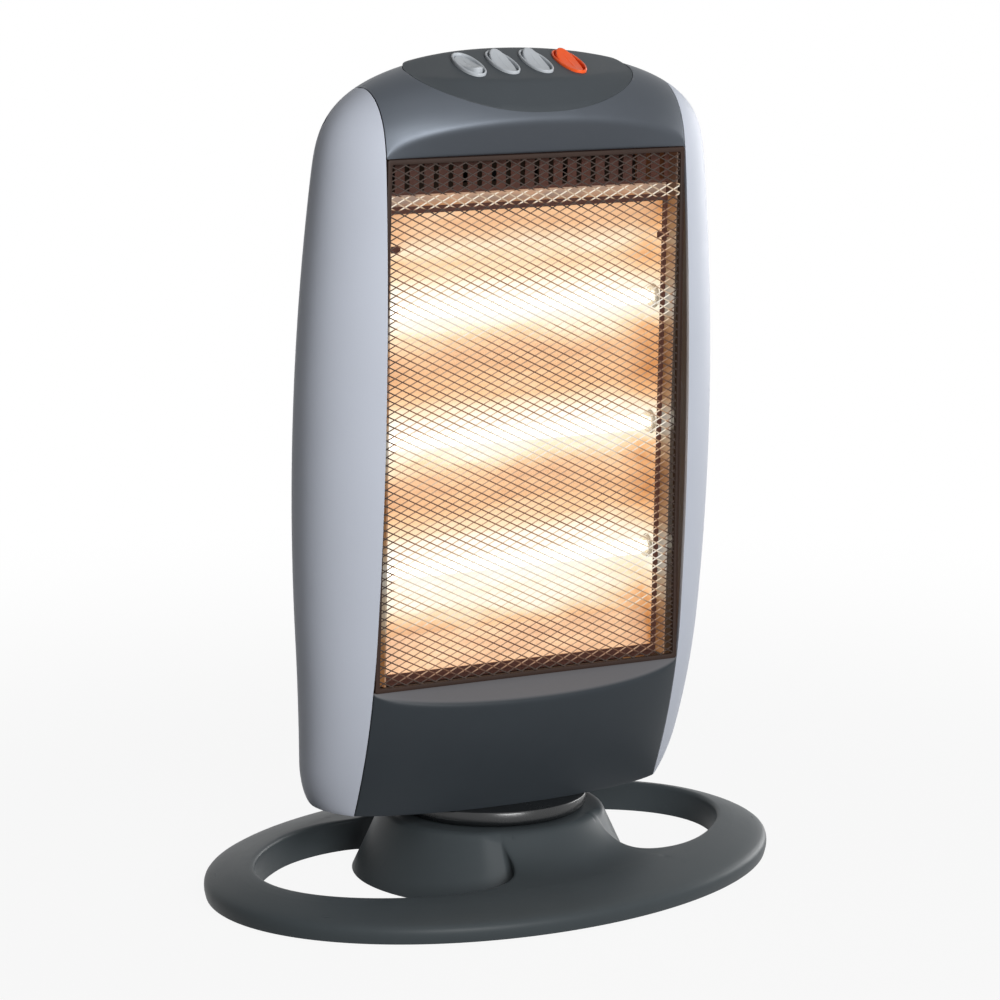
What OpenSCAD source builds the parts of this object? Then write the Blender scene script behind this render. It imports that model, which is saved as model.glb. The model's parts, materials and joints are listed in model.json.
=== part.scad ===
// Oscillating three-tube halogen heater on an oval base.
// Units: millimetres. +Z is up, the base's front faces -Y, and the origin is
// on the floor under the pivot, which is the middle of the base.
// The head's pieces are drawn facing -Y and then turned on the pivot.

/* [Overall] */
// Height from the floor to the top of the head
overall_h = 520; // [510:1:530]
// How far the head is turned on its base, clockwise seen from above, in degrees
head_turn = 11.3; // [0:0.1:20]

/* [Base] */
// Length of the oval base, side to side
base_len = 398; // [385:1:410]
// Width of the oval base, front to back
base_wid = 289; // [280:1:298]
// Side-to-side width of the ring outside the cut-outs
ring_side_w = 28.8; // [24:0.1:32]
// Front-to-back width of the ring outside the cut-outs
ring_front_w = 41; // [36:0.1:44]
// Height of the ring at its inner edge
ring_h = 21.5; // [19:0.1:23]
// Height of the ring's outer lip
lip_h = 12; // [10:0.1:14]
// Wall of the base moulding
base_wall = 2.6; // [2:0.1:3]
// Thickness of the rubber feet
foot_t = 2; // [1.5:0.1:3]
// Radius of a rubber foot
foot_r = 8; // [6:0.5:9]
// Radius of the hub at the floor
hub_floor_r = 88.8; // [86:0.1:91]
// Radius of the hub's flat top
hub_top_r = 70; // [68:0.1:72]
// Height of the hub's flat top
hub_top_z = 42.5; // [41:0.1:43.5]
// Half the width of the bridge from the hub to the front and back of the ring
bridge_half_w = 40; // [36:0.5:44]
// Radius of the round corners where a bridge meets the ring
bridge_corner_r = 16; // [12:0.5:20]

/* [Swivel] */
// Outer radius of the pivot tube
pivot_r = 6; // [5.5:0.1:6.5]
// Inner radius of the pivot tube
pivot_bore_r = 4.2; // [3.5:0.1:4.6]
// Radius of the round turntable under the head
turntable_r = 60; // [57:0.5:63]
// Distance from the pivot to the crank's shaft
crank_offset = 30; // [29:0.1:31]
// Distance from the crank's shaft to its pin
crank_throw = 15; // [14:0.1:15.5]
// Radius of the crank's pin
crank_pin_r = 2.5; // [2:0.1:2.8]

/* [Head shell] */
// Height of the head's underside
head_bottom_z = 53; // [52:0.1:54]
// Half the head's width at its widest
head_half_w = 141.3; // [138:0.1:144]
// Half the head's depth at its deepest
head_half_d = 63.5; // [61:0.5:66]
// Radius of the long side curve seen from the front
side_bow_r = 1715; // [1600:5:1850]
// Radius of the long curve of the front and back seen from the side
depth_bow_r = 1630; // [1500:10:1750]
// How far the head leans forward, in degrees
head_lean = 2.7; // [2:0.1:3.4]
// Roundness of the head in plan, where 2 is an ellipse
plan_power = 2.2; // [2.05:0.05:2.4]
// Height of the dome at the top of the head
dome_h = 75; // [71:1:79]
// Wall of the head's mouldings
shell_wall = 2.6; // [2:0.1:3]
// Half the width between the seams at the middle of the grille
seam_half_w = 104.7; // [103:0.1:106.5]
// How much a seam moves in for each millimetre of height
seam_taper = 0.014; // [0.008:0.001:0.02]
// Gap at the seams between the mouldings
seam_gap = 0.6; // [0.4:0.1:1]
// Rise of the curved brow edge over the grille
brow_arch = 20; // [16:0.5:24]
// Drop of the curved sill edge under the grille
sill_arch = 10; // [8:0.5:12]
// Height of the panel under the grille
lower_panel_h = 83; // [80:1:86]

/* [Heating front] */
// Height of the grille opening
grille_h = 325; // [318:1:330]
// Thickness of the grille mesh
mesh_t = 1.6; // [1.2:0.1:2]
// Width of a mesh strand
strand_w = 2.2; // [1.6:0.1:2.6]
// Diamonds across the mesh
mesh_cols = 9; // [7:1:10]
// Diamonds up the mesh
mesh_rows = 14; // [10:1:15]
// Height of the slotted vent band under the brow
vent_h = 21; // [18:0.5:24]
// Number of vent slots
vent_slots = 20; // [14:1:22]
// Width of a vent slot
vent_slot_w = 3.4; // [2.6:0.1:4]
// Half the width of the reflector
reflector_half_w = 97; // [94:0.5:98]
// Height of the reflector window
reflector_h = 290; // [280:1:294]
// Distance between the heating tubes
tube_pitch = 80; // [76:0.5:84]
// Radius of a quartz tube
tube_r = 5; // [4.5:0.1:5.5]
// Depth of a reflector trough
trough_depth = 20; // [17:0.5:22]

/* [Controls] */
// Half the length of the oval control panel
panel_half_len = 76; // [74:0.5:78]
// Half the depth of the oval control panel
panel_half_dep = 35.8; // [34:0.1:37]
// Slope of the control panel towards the front, in degrees
panel_slope = 19; // [17.5:0.5:20]
// Distance between the rocker keys
key_pitch = 23; // [21:0.1:24]
// Length of a rocker key
key_len = 29; // [27:0.5:30]
// Width of a rocker key
key_w = 12; // [11:0.1:12.5]
// Tilt of a rocker key each way, in degrees
key_tilt = 8; // [6:0.5:8]

/* [Hidden] */

$fn = 64;
eps = 0.01;
touch_gap = 0.1;        // gap between pieces that bear on each other
running_gap = 0.05;     // radial clearance of a shaft in its bore
fit_gap = 0.3;          // gap between pieces that are set side by side
hole_gap = 0.4;         // gap round a screw or stud in a clearance hole

// Colours
slate = "#3c4246";
dark_slate = "#34393d";
gloss_black = "#17191b";
silver_grey = "#b3b9c4";
brow_grey = "#5d666d";
panel_grey = "#454b4f";
key_grey = "#b9bec2";
key_orange = "#f05a28";
brown_black = "#33261f";
bright_alu = "#ece6da";
zinc = "#b4b7ba";
rubber = "#1f2022";

// ---------- head shape, in the head's own frame ----------
widest_z = 274;         // height where the head is widest
deepest_z = 255;        // height where the head is deepest
tail_z = 165;           // below this height the head curves back
tail_r = 400;           // radius of that curve
front_shift = -9.8;     // centre line of the head at the foot of the grille
crown_shift = 11;       // how far the crown lies behind that line
dome_power = 3.6;       // squareness of the dome seen from the front
corner_h = 30;          // height of the rounded lower corners
corner_in = 0.57;       // share of the side bulge left at the very bottom
heel_in = 0.4;          // share of the rear depth left at the very bottom
grille_z0 = head_bottom_z + lower_panel_h;
grille_z1 = grille_z0 + grille_h;
dome_z = overall_h - dome_h;

function clamp01(v) = min(1, max(0, v));
// shrink factor of the section inside the dome, for a surface w mm inside
function dome(z, w) = sqrt(max(0,
    1 - pow(clamp01((z - dome_z) / (dome_h - w)), dome_power)));
function half_w_straight(z) = head_half_w - pow(z - widest_z, 2) / (2 * side_bow_r);
function half_w(z, w) = (half_w_straight(z) - w) * dome(z, w);
function half_d(z, w) =
    (head_half_d - pow(z - deepest_z, 2) / (2 * depth_bow_r) - w) * dome(z, w);
// centre line: a steady forward lean, with the tail and the crown curving back
function mid_y(z) = front_shift - tan(head_lean) * (z - grille_z0)
    + pow(max(0, tail_z - z), 2) / (2 * tail_r)
    + crown_shift * pow(clamp01((z - dome_z) / dome_h), 4);
function seam_x(z) = seam_half_w + seam_taper * (grille_z0 + grille_h / 2 - max(z, grille_z0));
// quarter-ellipse easing of the lower corners, from 1 down to k
function corner(z, k) = let (t = clamp01((head_bottom_z + corner_h - z) / corner_h))
    1 - (1 - k) * (1 - sqrt(max(0, 1 - t * t)));
// depth of the surface from the centre line at x
function reach(x, z, w) = half_d(z, w)
    * pow(max(0, 1 - pow(abs(x) / max(half_w(z, w), eps), plan_power)), 1 / plan_power);
function front_y(x, z, w) = mid_y(z) - reach(x, z, w);
function rear_y(x, z, w) = mid_y(z) + reach(x, z, w) * corner(z, heel_in);
// height of the crest of the dome at x
function crest(x, w, z) = dome_z + (dome_h - w)
    * pow(max(0, 1 - pow(x / (half_w_straight(z) - w), 2)), 1 / dome_power);
function crest_z(x, w) = crest(x, w, crest(x, w, overall_h - dome_h / 4));
// the grille's flat plane runs through the two ends of the seams
plane_y0 = front_y(seam_x(grille_z0), grille_z0, 0);
plane_y1 = front_y(seam_x(grille_z1), grille_z1, 0);
plane_lean = atan2(plane_y0 - plane_y1, grille_h);

// closed shell from an outer and an inner grid of points, rows by columns
module shell(outer, inner) {
    r = len(outer);
    c = len(outer[0]);
    n = r * c;
    function tri(q) = [[q[0], q[1], q[2]], [q[0], q[2], q[3]]];
    faces = concat(
        [for (i = [0:r - 2], j = [0:c - 2]) each
            tri([i * c + j, (i + 1) * c + j, (i + 1) * c + j + 1, i * c + j + 1])],
        [for (i = [0:r - 2], j = [0:c - 2]) each
            tri([n + i * c + j, n + i * c + j + 1, n + (i + 1) * c + j + 1, n + (i + 1) * c + j])],
        [for (i = [0:r - 2]) each
            tri([(i + 1) * c, i * c, n + i * c, n + (i + 1) * c])],
        [for (i = [0:r - 2]) each
            tri([(i + 1) * c - 1, (i + 2) * c - 1, n + (i + 2) * c - 1, n + (i + 1) * c - 1])],
        [for (j = [0:c - 2]) each
            tri([n - c + j + 1, n - c + j, 2 * n - c + j, 2 * n - c + j + 1])],
        [for (j = [0:c - 2]) each
            tri([j, j + 1, n + j + 1, n + j])]);
    polyhedron(points = concat([for (row = outer) each row], [for (row = inner) each row]),
        faces = faces);
}

module on_head() {
    rotate([0, 0, -head_turn]) children();
}

// frame of the grille plane: X across, Y up the plane, Z out towards the front
module on_grille(depth = 0) {
    on_head() translate([0, plane_y0, grille_z0]) rotate([90 + plane_lean, 0, 0])
        translate([0, 0, -depth]) children();
}

// ---------- side panels ----------
side_cols = 14;
low_count = 6;
mid_count = 8;
top_count = 8;
// heights of a shell's rows: close together at the lower corners and the dome
function row_heights(top) = concat(
    [for (i = [0:low_count - 1]) head_bottom_z + corner_h * (1 - cos(90 * i / low_count))],
    [for (i = [0:mid_count - 1]) let (z0 = head_bottom_z + corner_h)
        z0 + (dome_z - z0) * i / mid_count],
    [for (i = [0:top_count]) dome_z + (top - dome_z) * sin(90 * i / top_count)]);
// height where the panel's skin, w inside, meets the seam plane
top_trim = 0.4;         // the panel stops this far short of that point
function side_top_z(w) = crest_z(seam_x(crest_z(seam_half_w, 0)), w) - top_trim;
function side_point(z, s, w) = let (
    seam = seam_x(z) + seam_gap / 2,
    span = half_d(z, w) * pow(max(0, 1 - pow(seam / half_w(z, w), plan_power)), 1 / plan_power),
    dy = span * s,
    x = half_w(z, w) * pow(max(0, 1 - pow(abs(dy) / half_d(z, w), plan_power)), 1 / plan_power))
    [-seam - max(0, x - seam) * corner(z, corner_in),
     mid_y(z) + dy * (dy > 0 ? corner(z, heel_in) : 1), z];
function side_grid(w) = [for (z = row_heights(side_top_z(w)))
    [for (j = [0:side_cols]) side_point(z, -sin(-90 + 180 * j / side_cols), w)]];

screw_z = overall_h - 39;   // screw in each side panel
screw_y = mid_y(screw_z) + 9.5;
recess_r = 3.4;
pocket_wall = 1.6;
lug_t = 5;              // tab of the brow that the screw holds
lug_x = seam_x(screw_z) - seam_gap / 2 - fit_gap;
pocket_floor_t = 2;
pocket_sunk = 0.4;      // the pocket's wall ends this far below the panel's skin
screw_hole_r = 2.2;
side_screw_r = 1.8;
module side_panel() {
    pocket_x = lug_x + fit_gap + seam_gap;
    difference() {
        union() {
            shell(side_grid(0), side_grid(shell_wall));
            intersection() {
                translate([-head_half_w, screw_y, screw_z]) rotate([0, 90, 0])
                    cylinder(r = recess_r + pocket_wall, h = head_half_w - pocket_x);
                shell(side_grid(pocket_sunk), [for (row = side_grid(pocket_sunk))
                    [for (p = row) [-lug_x, p[1], p[2]]]]);
            }
        }
        translate([-head_half_w, screw_y, screw_z]) rotate([0, 90, 0])
            cylinder(r = recess_r, h = head_half_w - pocket_x - pocket_floor_t);
        translate([-head_half_w, screw_y, screw_z]) rotate([0, 90, 0])
            cylinder(r = screw_hole_r, h = head_half_w);
    }
}
module side_panel_left() {
    color(silver_grey) on_head() side_panel();
}
module side_panel_right() {
    color(silver_grey) on_head() mirror([1, 0, 0]) side_panel();
}
module side_panel_screws() {
    head_t = 2.4;
    seat_x = lug_x + fit_gap + seam_gap + pocket_floor_t;
    color(zinc) on_head() for (s = [0, 1]) mirror([s, 0, 0])
        translate([-seat_x, screw_y, screw_z]) rotate([0, 90, 0]) {
            translate([0, 0, -head_t]) cylinder(r = recess_r - fit_gap, h = head_t);
            translate([0, 0, -eps]) cylinder(r = side_screw_r, h = seat_x - lug_x + lug_t - 0.5);
        }
}

// ---------- brow, lower panel and rear cover ----------
face_cols = 22;
function face_x(t, z) = t * (seam_x(z) - seam_gap / 2);
function face_t(j) = sin(-90 + 180 * j / face_cols) * 0.35 + (-1 + 2 * j / face_cols) * 0.65;
function arch(t) = sqrt(max(0, 1 - t * t));
brow_front_rows = 9;
brow_rear_rows = 4;
rear_drop = 12;         // the brow ends this far down behind the crest
module brow_grid_shell() {
    function front_rows(w) = [for (i = [0:brow_front_rows]) [for (j = [0:face_cols])
        let (t = face_t(j), x = face_x(t, overall_h),
            z0 = grille_z1 + max(0.6, brow_arch * arch(t)), z1 = crest_z(x, w),
            z = z0 + (z1 - z0) * sin(90 * i / brow_front_rows), xx = face_x(t, z))
        [xx, front_y(xx, z, w), z]]];
    function rear_rows(w) = [for (i = [1:brow_rear_rows]) [for (j = [0:face_cols])
        let (t = face_t(j), x = face_x(t, overall_h), z1 = crest_z(x, w),
            z = z1 - rear_drop * (1 - cos(90 * i / brow_rear_rows)), xx = face_x(t, z))
        [xx, rear_y(xx, z, w), z]]];
    function edge(w) = [[for (j = [0:face_cols]) let (x = face_x(face_t(j), grille_z1))
        [x, plane_y1 + w, grille_z1]]];
    shell(concat(edge(0), front_rows(0), rear_rows(0)),
        concat(edge(shell_wall), front_rows(shell_wall), rear_rows(shell_wall)));
}
// tab inside the brow for a side panel's screw, hung from the brow's wall
module screw_lug() {
    w = 14;
    sunk = 2;               // the tab's top lies this far below the skin
    z0 = screw_z - w / 2;
    translate([lug_x - lug_t, screw_y - w / 2, z0])
        cube([lug_t, w, crest_z(lug_x, 0) - sunk - z0]);
}
module brow_panel() {
    color(brow_grey) on_head() difference() {
        union() {
            brow_grid_shell();
            screw_lug();
            mirror([1, 0, 0]) screw_lug();
        }
        panel_prism(fit_gap);
        for (s = [-1, 1]) translate([s * lug_x, screw_y, screw_z]) rotate([0, 90, 0])
            cylinder(r = side_screw_r + running_gap, h = 3 * lug_t, center = true);
    }
}

low_rows = 8;
module lower_panel() {
    function rows(w) = [for (i = [0:low_rows]) [for (j = [0:face_cols])
        let (t = face_t(j), z1 = grille_z0 - max(0.6, sill_arch * arch(t)),
            z = head_bottom_z + (z1 - head_bottom_z) * i / low_rows, x = face_x(t, z))
        [x, front_y(x, z, w), z]]];
    function edge(w) = [[for (j = [0:face_cols]) let (x = face_x(face_t(j), grille_z0))
        [x, plane_y0 + w, grille_z0]]];
    color(dark_slate) on_head()
        shell(concat(rows(0), edge(0)), concat(rows(shell_wall), edge(shell_wall)));
}

vent_rows = 9;
vent_pitch = 14;
vent_len = 60;
vent_t = 4.5;
vent_z0 = grille_z0 + 34;
vent_mid_gap = 12;      // solid strip between the two columns of vents
grip_w = 96;
grip_h = 28;
grip_depth = 20;
grip_z = dome_z - 5;
grip_wall = 2;
grip_lip = 1;           // how far the grip's rim stands proud
grip_slope = atan2(rear_y(0, grip_z - grip_h / 2, 0) - rear_y(0, grip_z + grip_h / 2, 0), grip_h);
grip_bow_r = pow(grip_w / 2, 2) / 2 / (rear_y(0, grip_z, 0) - rear_y(grip_w / 2, grip_z, 0));
gland_z = head_bottom_z + 31;
gland_r = 8;
cover_screw_x = reflector_half_w - 2;
low_screw_z = head_bottom_z + 57;
top_screw_z = min(dome_z, grille_z1 - 16);  // within both the cover and the rails
rear_screw_z = [low_screw_z, (low_screw_z + top_screw_z) / 2, top_screw_z];
rear_screw_places = [for (s = [-1, 1], z = rear_screw_z) [s * cover_screw_x, z]];
rear_screw_r = 1.9;
rear_head_r = 3.6;
rear_head_t = 1.8;
seat_depth = 0.9;       // flat seat for a screw's head
function rear_seat(z) = rear_y(cover_screw_x, z, 0) - seat_depth;
module grip_frame() {
    translate([0, rear_y(0, grip_z, 0), grip_z]) rotate([grip_slope, 0, 0]) children();
}
module rear_cover() {
    function tops(w) = [for (j = [0:face_cols])
        row_heights(crest_z(face_x(face_t(j), overall_h), w) - rear_drop - seam_gap)];
    function rows(w) = let (z = tops(w)) [for (i = [0:len(z[0]) - 1]) [for (j = [0:face_cols])
        let (x = face_x(-face_t(j), z[j][i])) [x, rear_y(x, z[j][i], w), z[j][i]]]];
    color(dark_slate) on_head() difference() {
        shell(rows(0), rows(shell_wall));
        for (i = [0:vent_rows - 1], s = [-1, 1])
            translate([s * (vent_len + vent_mid_gap) / 2 - vent_len / 2, 0, vent_z0 + i * vent_pitch])
                cube([vent_len, head_half_d * 2, vent_t]);
        grip_frame() translate([-grip_w / 2 - fit_gap, -grip_depth, -grip_h / 2 - fit_gap])
            cube([grip_w + 2 * fit_gap, grip_depth * 2, grip_h + 2 * fit_gap]);
        translate([0, 0, gland_z]) rotate([-90, 0, 0])
            cylinder(r = gland_r + hole_gap, h = head_half_d * 2);
        for (p = rear_screw_places) translate([p[0], rear_seat(p[1]), p[1]]) rotate([-90, 0, 0]) {
            cylinder(r = rear_head_r + hole_gap, h = head_half_d);
            cylinder(r = rear_screw_r + hole_gap, h = head_half_d, center = true);
        }
    }
}
module rear_cover_screws() {
    shank = 12;
    color(zinc) on_head() for (p = rear_screw_places)
        translate([p[0], rear_seat(p[1]), p[1]]) rotate([-90, 0, 0]) {
            translate([0, 0, -shank]) cylinder(r = rear_screw_r, h = shank + eps);
            cylinder(r = rear_head_r, h = rear_head_t);
        }
}
// finger recess: a pocket whose rim follows the cover's sideways curve
module carry_grip() {
    color(dark_slate) on_head() grip_frame() difference() {
        intersection() {
            translate([-grip_w / 2, -grip_depth, -grip_h / 2])
                cube([grip_w, grip_depth + 2 * grip_lip, grip_h]);
            translate([0, grip_lip - grip_bow_r, 0])
                cylinder(r = grip_bow_r, h = 2 * grip_h, center = true, $fn = 720);
        }
        translate([-grip_w / 2 + grip_wall, -grip_depth + grip_wall, -grip_h / 2 + grip_wall])
            cube([grip_w - 2 * grip_wall, grip_depth + grip_lip, grip_h - 2 * grip_wall]);
    }
}
gland_len = 14;
cord_r = 3.6;
module cord_gland() {
    seat = 7;               // depth of the gland behind the cover's skin
    rim = 2.6;
    color(rubber) on_head() translate([0, rear_y(0, gland_z, 0) - seat, gland_z]) rotate([-90, 0, 0])
        rotate_extrude() polygon([[cord_r, 0], [gland_r, 0], [gland_r, seat + touch_gap],
            [gland_r + rim, seat + touch_gap], [gland_r + rim - 0.4, seat + 3],
            [gland_r - 1.4, gland_len], [cord_r, gland_len]]);
}

// ---------- control panel and rocker keys ----------
panel_mid_y = mid_y(overall_h) - 16.1;      // middle of the oval, front to back
panel_step_y = panel_mid_y - 25;    // front edge of the sloping key bed
panel_step_z = overall_h - 15.2;
panel_depth = 9;        // thickness of the insert
panel_proud = 2;        // most that the bed stands above the dome's skin
panel_tip = 1;          // the insert's tips are blunted by this much
step_r = 122;           // curve of the bed's front edge seen from above
crown_r = 700;          // sideways curve of the key bed
oval_r = (pow(panel_half_len, 2) + pow(panel_half_dep, 2)) / (2 * panel_half_dep);
function bed_z(y) = panel_step_z + tan(panel_slope) * (y - panel_step_y);
module panel_prism(grow) {
    translate([0, 0, panel_hole_z]) linear_extrude(overall_h)
        intersection_for(s = [-1, 1])
            translate([0, panel_mid_y + s * (oval_r - panel_half_dep)])
                circle(r = oval_r + grow, $fn = 180);
}
// edge of the insert seen from above, in front (side -1) or behind (side 1)
function lens_y(x, side) = panel_mid_y
    + side * (sqrt(oval_r * oval_r - x * x) - oval_r + panel_half_dep);
// front edge of the key bed, where the steep facet begins
function step_y(x) = panel_step_y + step_r - sqrt(step_r * step_r - x * x);
function crown_drop(x) = crown_r - sqrt(crown_r * crown_r - x * x);
// the opening in the brow starts just under the insert's front
panel_hole_z = skin_z(0, lens_y(0, -1)) - panel_depth - fit_gap;
// height of the head's skin over a point, found by halving the dome's height n times
function skin_z(x, y, lo = dome_z, hi = overall_h, n = 24) = n == 0 ? lo : let (z = (lo + hi) / 2)
    abs(y - mid_y(z)) < reach(x, z, 0) ? skin_z(x, y, z, hi, n - 1) : skin_z(x, y, lo, z, n - 1);
panel_cols = 24;
facet_rows = 2;
bed_rows = 8;
// a column of the insert's top: up the facet, over the bed and down the crown behind it
function panel_column(x) = let (y0 = lens_y(x, -1), y1 = step_y(x), y2 = lens_y(x, 1),
    z0 = skin_z(x, y0), z1 = min(bed_z(y1) - crown_drop(x), skin_z(x, y1) + panel_proud))
    concat([for (i = [0:facet_rows - 1]) let (t = i / facet_rows)
            [x, y0 + (y1 - y0) * t, z0 + (z1 - z0) * t]],
        [for (i = [0:bed_rows]) let (y = y1 + (y2 - y1) * i / bed_rows)
            [x, y, min(bed_z(y) - crown_drop(x), skin_z(x, y) + panel_proud)]]);
key_y = panel_mid_y - 0.5;  // middle of the keys, front to back
key_x = [-1.5 * key_pitch, -0.5 * key_pitch, 0.5 * key_pitch, 1.5 * key_pitch];
// frame on the key bed: X across, Y up the slope, Z out of the panel
module on_bed(x = 0) {
    on_head() translate([x, key_y, bed_z(key_y) - crown_drop(x)])
        rotate([panel_slope, 0, 0]) children();
}
bezel_t = 1.8;
bezel_rim = 2;          // width of the bezel round a key
bezel_ledge = 0.5;      // the bezel overhangs its housing by this much
bezel_seat = 0.5;       // pocket in the panel for the bezel's underside
key_gap = 0.6;          // gap round a key in its bezel
housing_h = 15;
cavity_h = 11;
blade = [0.8, 5, 6];    // terminal blade
key_pin_r = 1.2;
key_pivot_z = -3.5;     // pivot below the key bed
key_mid_z = 0.9;        // hollow middle of a key above the key bed
key_hollow_r = 60;      // radius of that hollow
key_foot = 3;           // depth of the actuator under a key
// rounded boat shape, a little fuller than an ellipse
module oval(w, l) {
    n = 48;
    power = 2.2;
    polygon([for (i = [0:n - 1]) let (c = cos(360 * i / n), s = sin(360 * i / n))
        [w / 2 * sign(c) * pow(abs(c), 2 / power), l / 2 * sign(s) * pow(abs(s), 2 / power)]]);
}
module bezel_oval(inset) {
    oval(key_w + 2 * (bezel_rim - inset), key_len + 2 * (bezel_rim + key_gap - inset));
}
module control_panel() {
    cols = [for (i = [0:panel_cols])
        panel_column((panel_half_len - panel_tip) * sin(-90 + 180 * i / panel_cols))];
    color(panel_grey) difference() {
        on_head() shell([for (r = [0:facet_rows + bed_rows]) [for (c = cols) c[r]]],
            [for (r = [0:facet_rows + bed_rows]) [for (c = cols) c[r] - [0, 0, panel_depth]]]);
        for (x = key_x) on_bed(x) {
            translate([0, 0, -panel_depth * 2]) linear_extrude(panel_depth * 3)
                bezel_oval(bezel_ledge - fit_gap);
            translate([0, 0, -bezel_seat]) linear_extrude(panel_depth) bezel_oval(-touch_gap);
        }
    }
}
module rocker_switch(x, tint) {
    color(tint) on_bed(x) difference() {
        union() {
            translate([0, 0, -bezel_seat]) linear_extrude(bezel_seat + bezel_t) bezel_oval(0);
            translate([0, 0, -housing_h]) linear_extrude(housing_h) bezel_oval(bezel_ledge);
            for (s = [-1, 1]) translate([s * 3, 0, -housing_h - blade[2]])
                linear_extrude(blade[2] + 0.1) square([blade[0], blade[1]], center = true);
        }
        translate([0, 0, -cavity_h]) linear_extrude(2 * cavity_h)
            oval(key_w + 2 * key_gap, key_len + 4 * key_gap);
        translate([0, 0, key_pivot_z]) rotate([0, 90, 0])
            cylinder(r = key_pin_r + running_gap, h = key_w * 3, center = true);
    }
}
// a key: hollow-topped rocker on a cross pin, tilted to one of its two positions
module rocker_key(x, tilt, tint) {
    color(tint) on_bed(x) translate([0, 0, key_pivot_z]) rotate([tilt, 0, 0]) {
        difference() {
            linear_extrude(key_len / 2) oval(key_w, key_len);
            translate([0, 0, key_mid_z - key_pivot_z + key_hollow_r]) rotate([0, 90, 0])
                cylinder(r = key_hollow_r, h = key_w * 2, center = true, $fn = 180);
        }
        rotate([0, 90, 0]) cylinder(r = key_pin_r, h = key_w + 2 * bezel_rim - 1.6, center = true);
        translate([-3, -4, -key_foot]) cube([6, 8, key_foot + 1]);
    }
}
module rocker_switch_1() { rocker_switch(key_x[0], key_grey); }
module rocker_switch_2() { rocker_switch(key_x[1], key_grey); }
module rocker_switch_3() { rocker_switch(key_x[2], key_grey); }
module oscillation_switch() { rocker_switch(key_x[3], key_orange); }
module rocker_key_1() { rocker_key(key_x[0], -key_tilt, key_grey); }
module rocker_key_2() { rocker_key(key_x[1], key_tilt, key_grey); }
module rocker_key_3() { rocker_key(key_x[2], key_tilt, key_grey); }
module oscillation_key() { rocker_key(key_x[3], key_tilt, key_orange); }

// ---------- grille ----------
grille_half_w = seam_x(grille_z1) - seam_gap;
border_w = 3;
border_t = 3;
border_back = 1.7;      // back of the border behind the grille plane
mesh_back = 1;          // back of the mesh behind the grille plane
module grille_mesh() {
    w = 2 * (grille_half_w - border_w);
    h = grille_h - 2 * border_w;
    cw = w / mesh_cols;
    ch = h / mesh_rows;
    // share of a cell that the strands take, seen square to a strand
    k = strand_w * sqrt(1 / (cw * cw) + 1 / (ch * ch));
    module diamond() {
        polygon([[-cw / 2 * (1 - k), 0], [0, ch / 2 * (1 - k)],
            [cw / 2 * (1 - k), 0], [0, -ch / 2 * (1 - k)]]);
    }
    color(brown_black) on_grille(mesh_back) linear_extrude(mesh_t) difference() {
        translate([-w / 2, border_w]) square([w, h]);
        for (i = [0:mesh_cols - 1], j = [0:mesh_rows - 1])
            translate([-w / 2 + (i + 0.5) * cw, border_w + (j + 0.5) * ch]) diamond();
        for (i = [1:mesh_cols - 1], j = [1:mesh_rows - 1])
            translate([-w / 2 + i * cw, border_w + j * ch]) diamond();
    }
}
// the border widens downwards to follow the seams
module grille_border() {
    foot_half_w = seam_x(grille_z0) - seam_gap;
    color(brown_black) on_grille(border_back) linear_extrude(border_t) difference() {
        polygon([[-foot_half_w, fit_gap], [foot_half_w, fit_gap],
            [grille_half_w, grille_h - fit_gap], [-grille_half_w, grille_h - fit_gap]]);
        translate([-grille_half_w + border_w, border_w])
            square([(grille_half_w - border_w) * 2, grille_h - 2 * border_w]);
    }
}

// ---------- heating element pack, behind the grille ----------
sheet_t = 0.8;
frame_depth = 11;       // front of the element frame behind the grille plane
frame_edge = 1;         // the frame stops this far inside the grille opening
slot_margin = 4;        // solid strip of the frame above the vent slots
window_y0 = 4;          // foot of the reflector window above the grille's foot
window_y1 = window_y0 + reflector_h;
flange_h = 8;           // bright top flange of the reflector
window_top = window_y1 + flange_h;
window_bar = 2;         // solid strip between the window and the vent slots
vent_y0 = max(grille_h - vent_h, window_top + window_bar);
reflector_t = 1;
reflector_depth = frame_depth + sheet_t + touch_gap;
tube_y = [for (i = [-1:1]) window_y0 + reflector_h / 2 + i * tube_pitch];
cusp_depth = frame_depth + 10;  // ridge between two troughs
trough_r = (pow(tube_pitch / 2, 2) + pow(trough_depth, 2)) / (2 * trough_depth);
tube_depth = cusp_depth + 3;
end_depth = cusp_depth + trough_depth + 4;
shield_depth = end_depth + 7;   // back of the heat shield
rail_t = 1;
rail_x = reflector_half_w + sheet_t + touch_gap;
rail_depth = shield_depth + 1;  // back edge of the rails
low_rail_depth = 26;    // front edge of the rails behind the lower panel
cap_r = tube_r + 1.5;
cap_len = 18;
cap_hole_r = cap_r + 1.2;
cap_grip = 5;           // a tube goes this far into its cap
glass_half = reflector_half_w + 3;
glass_plug = 6;         // sealed end of a tube
filament_r = 1.3;
module element_frame() {
    half = rail_x - touch_gap;
    color(brown_black) on_grille(frame_depth + sheet_t) linear_extrude(sheet_t) difference() {
        translate([-half, frame_edge]) square([half * 2, vent_y0 + vent_h - 2 * frame_edge]);
        translate([-reflector_half_w, window_y0])
            square([reflector_half_w * 2, window_top - window_y0]);
        for (i = [0:vent_slots - 1])
            translate([-half + (i + 0.5) * 2 * half / vent_slots - vent_slot_w / 2, vent_y0])
                square([vent_slot_w, vent_h - slot_margin]);
    }
}
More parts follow.
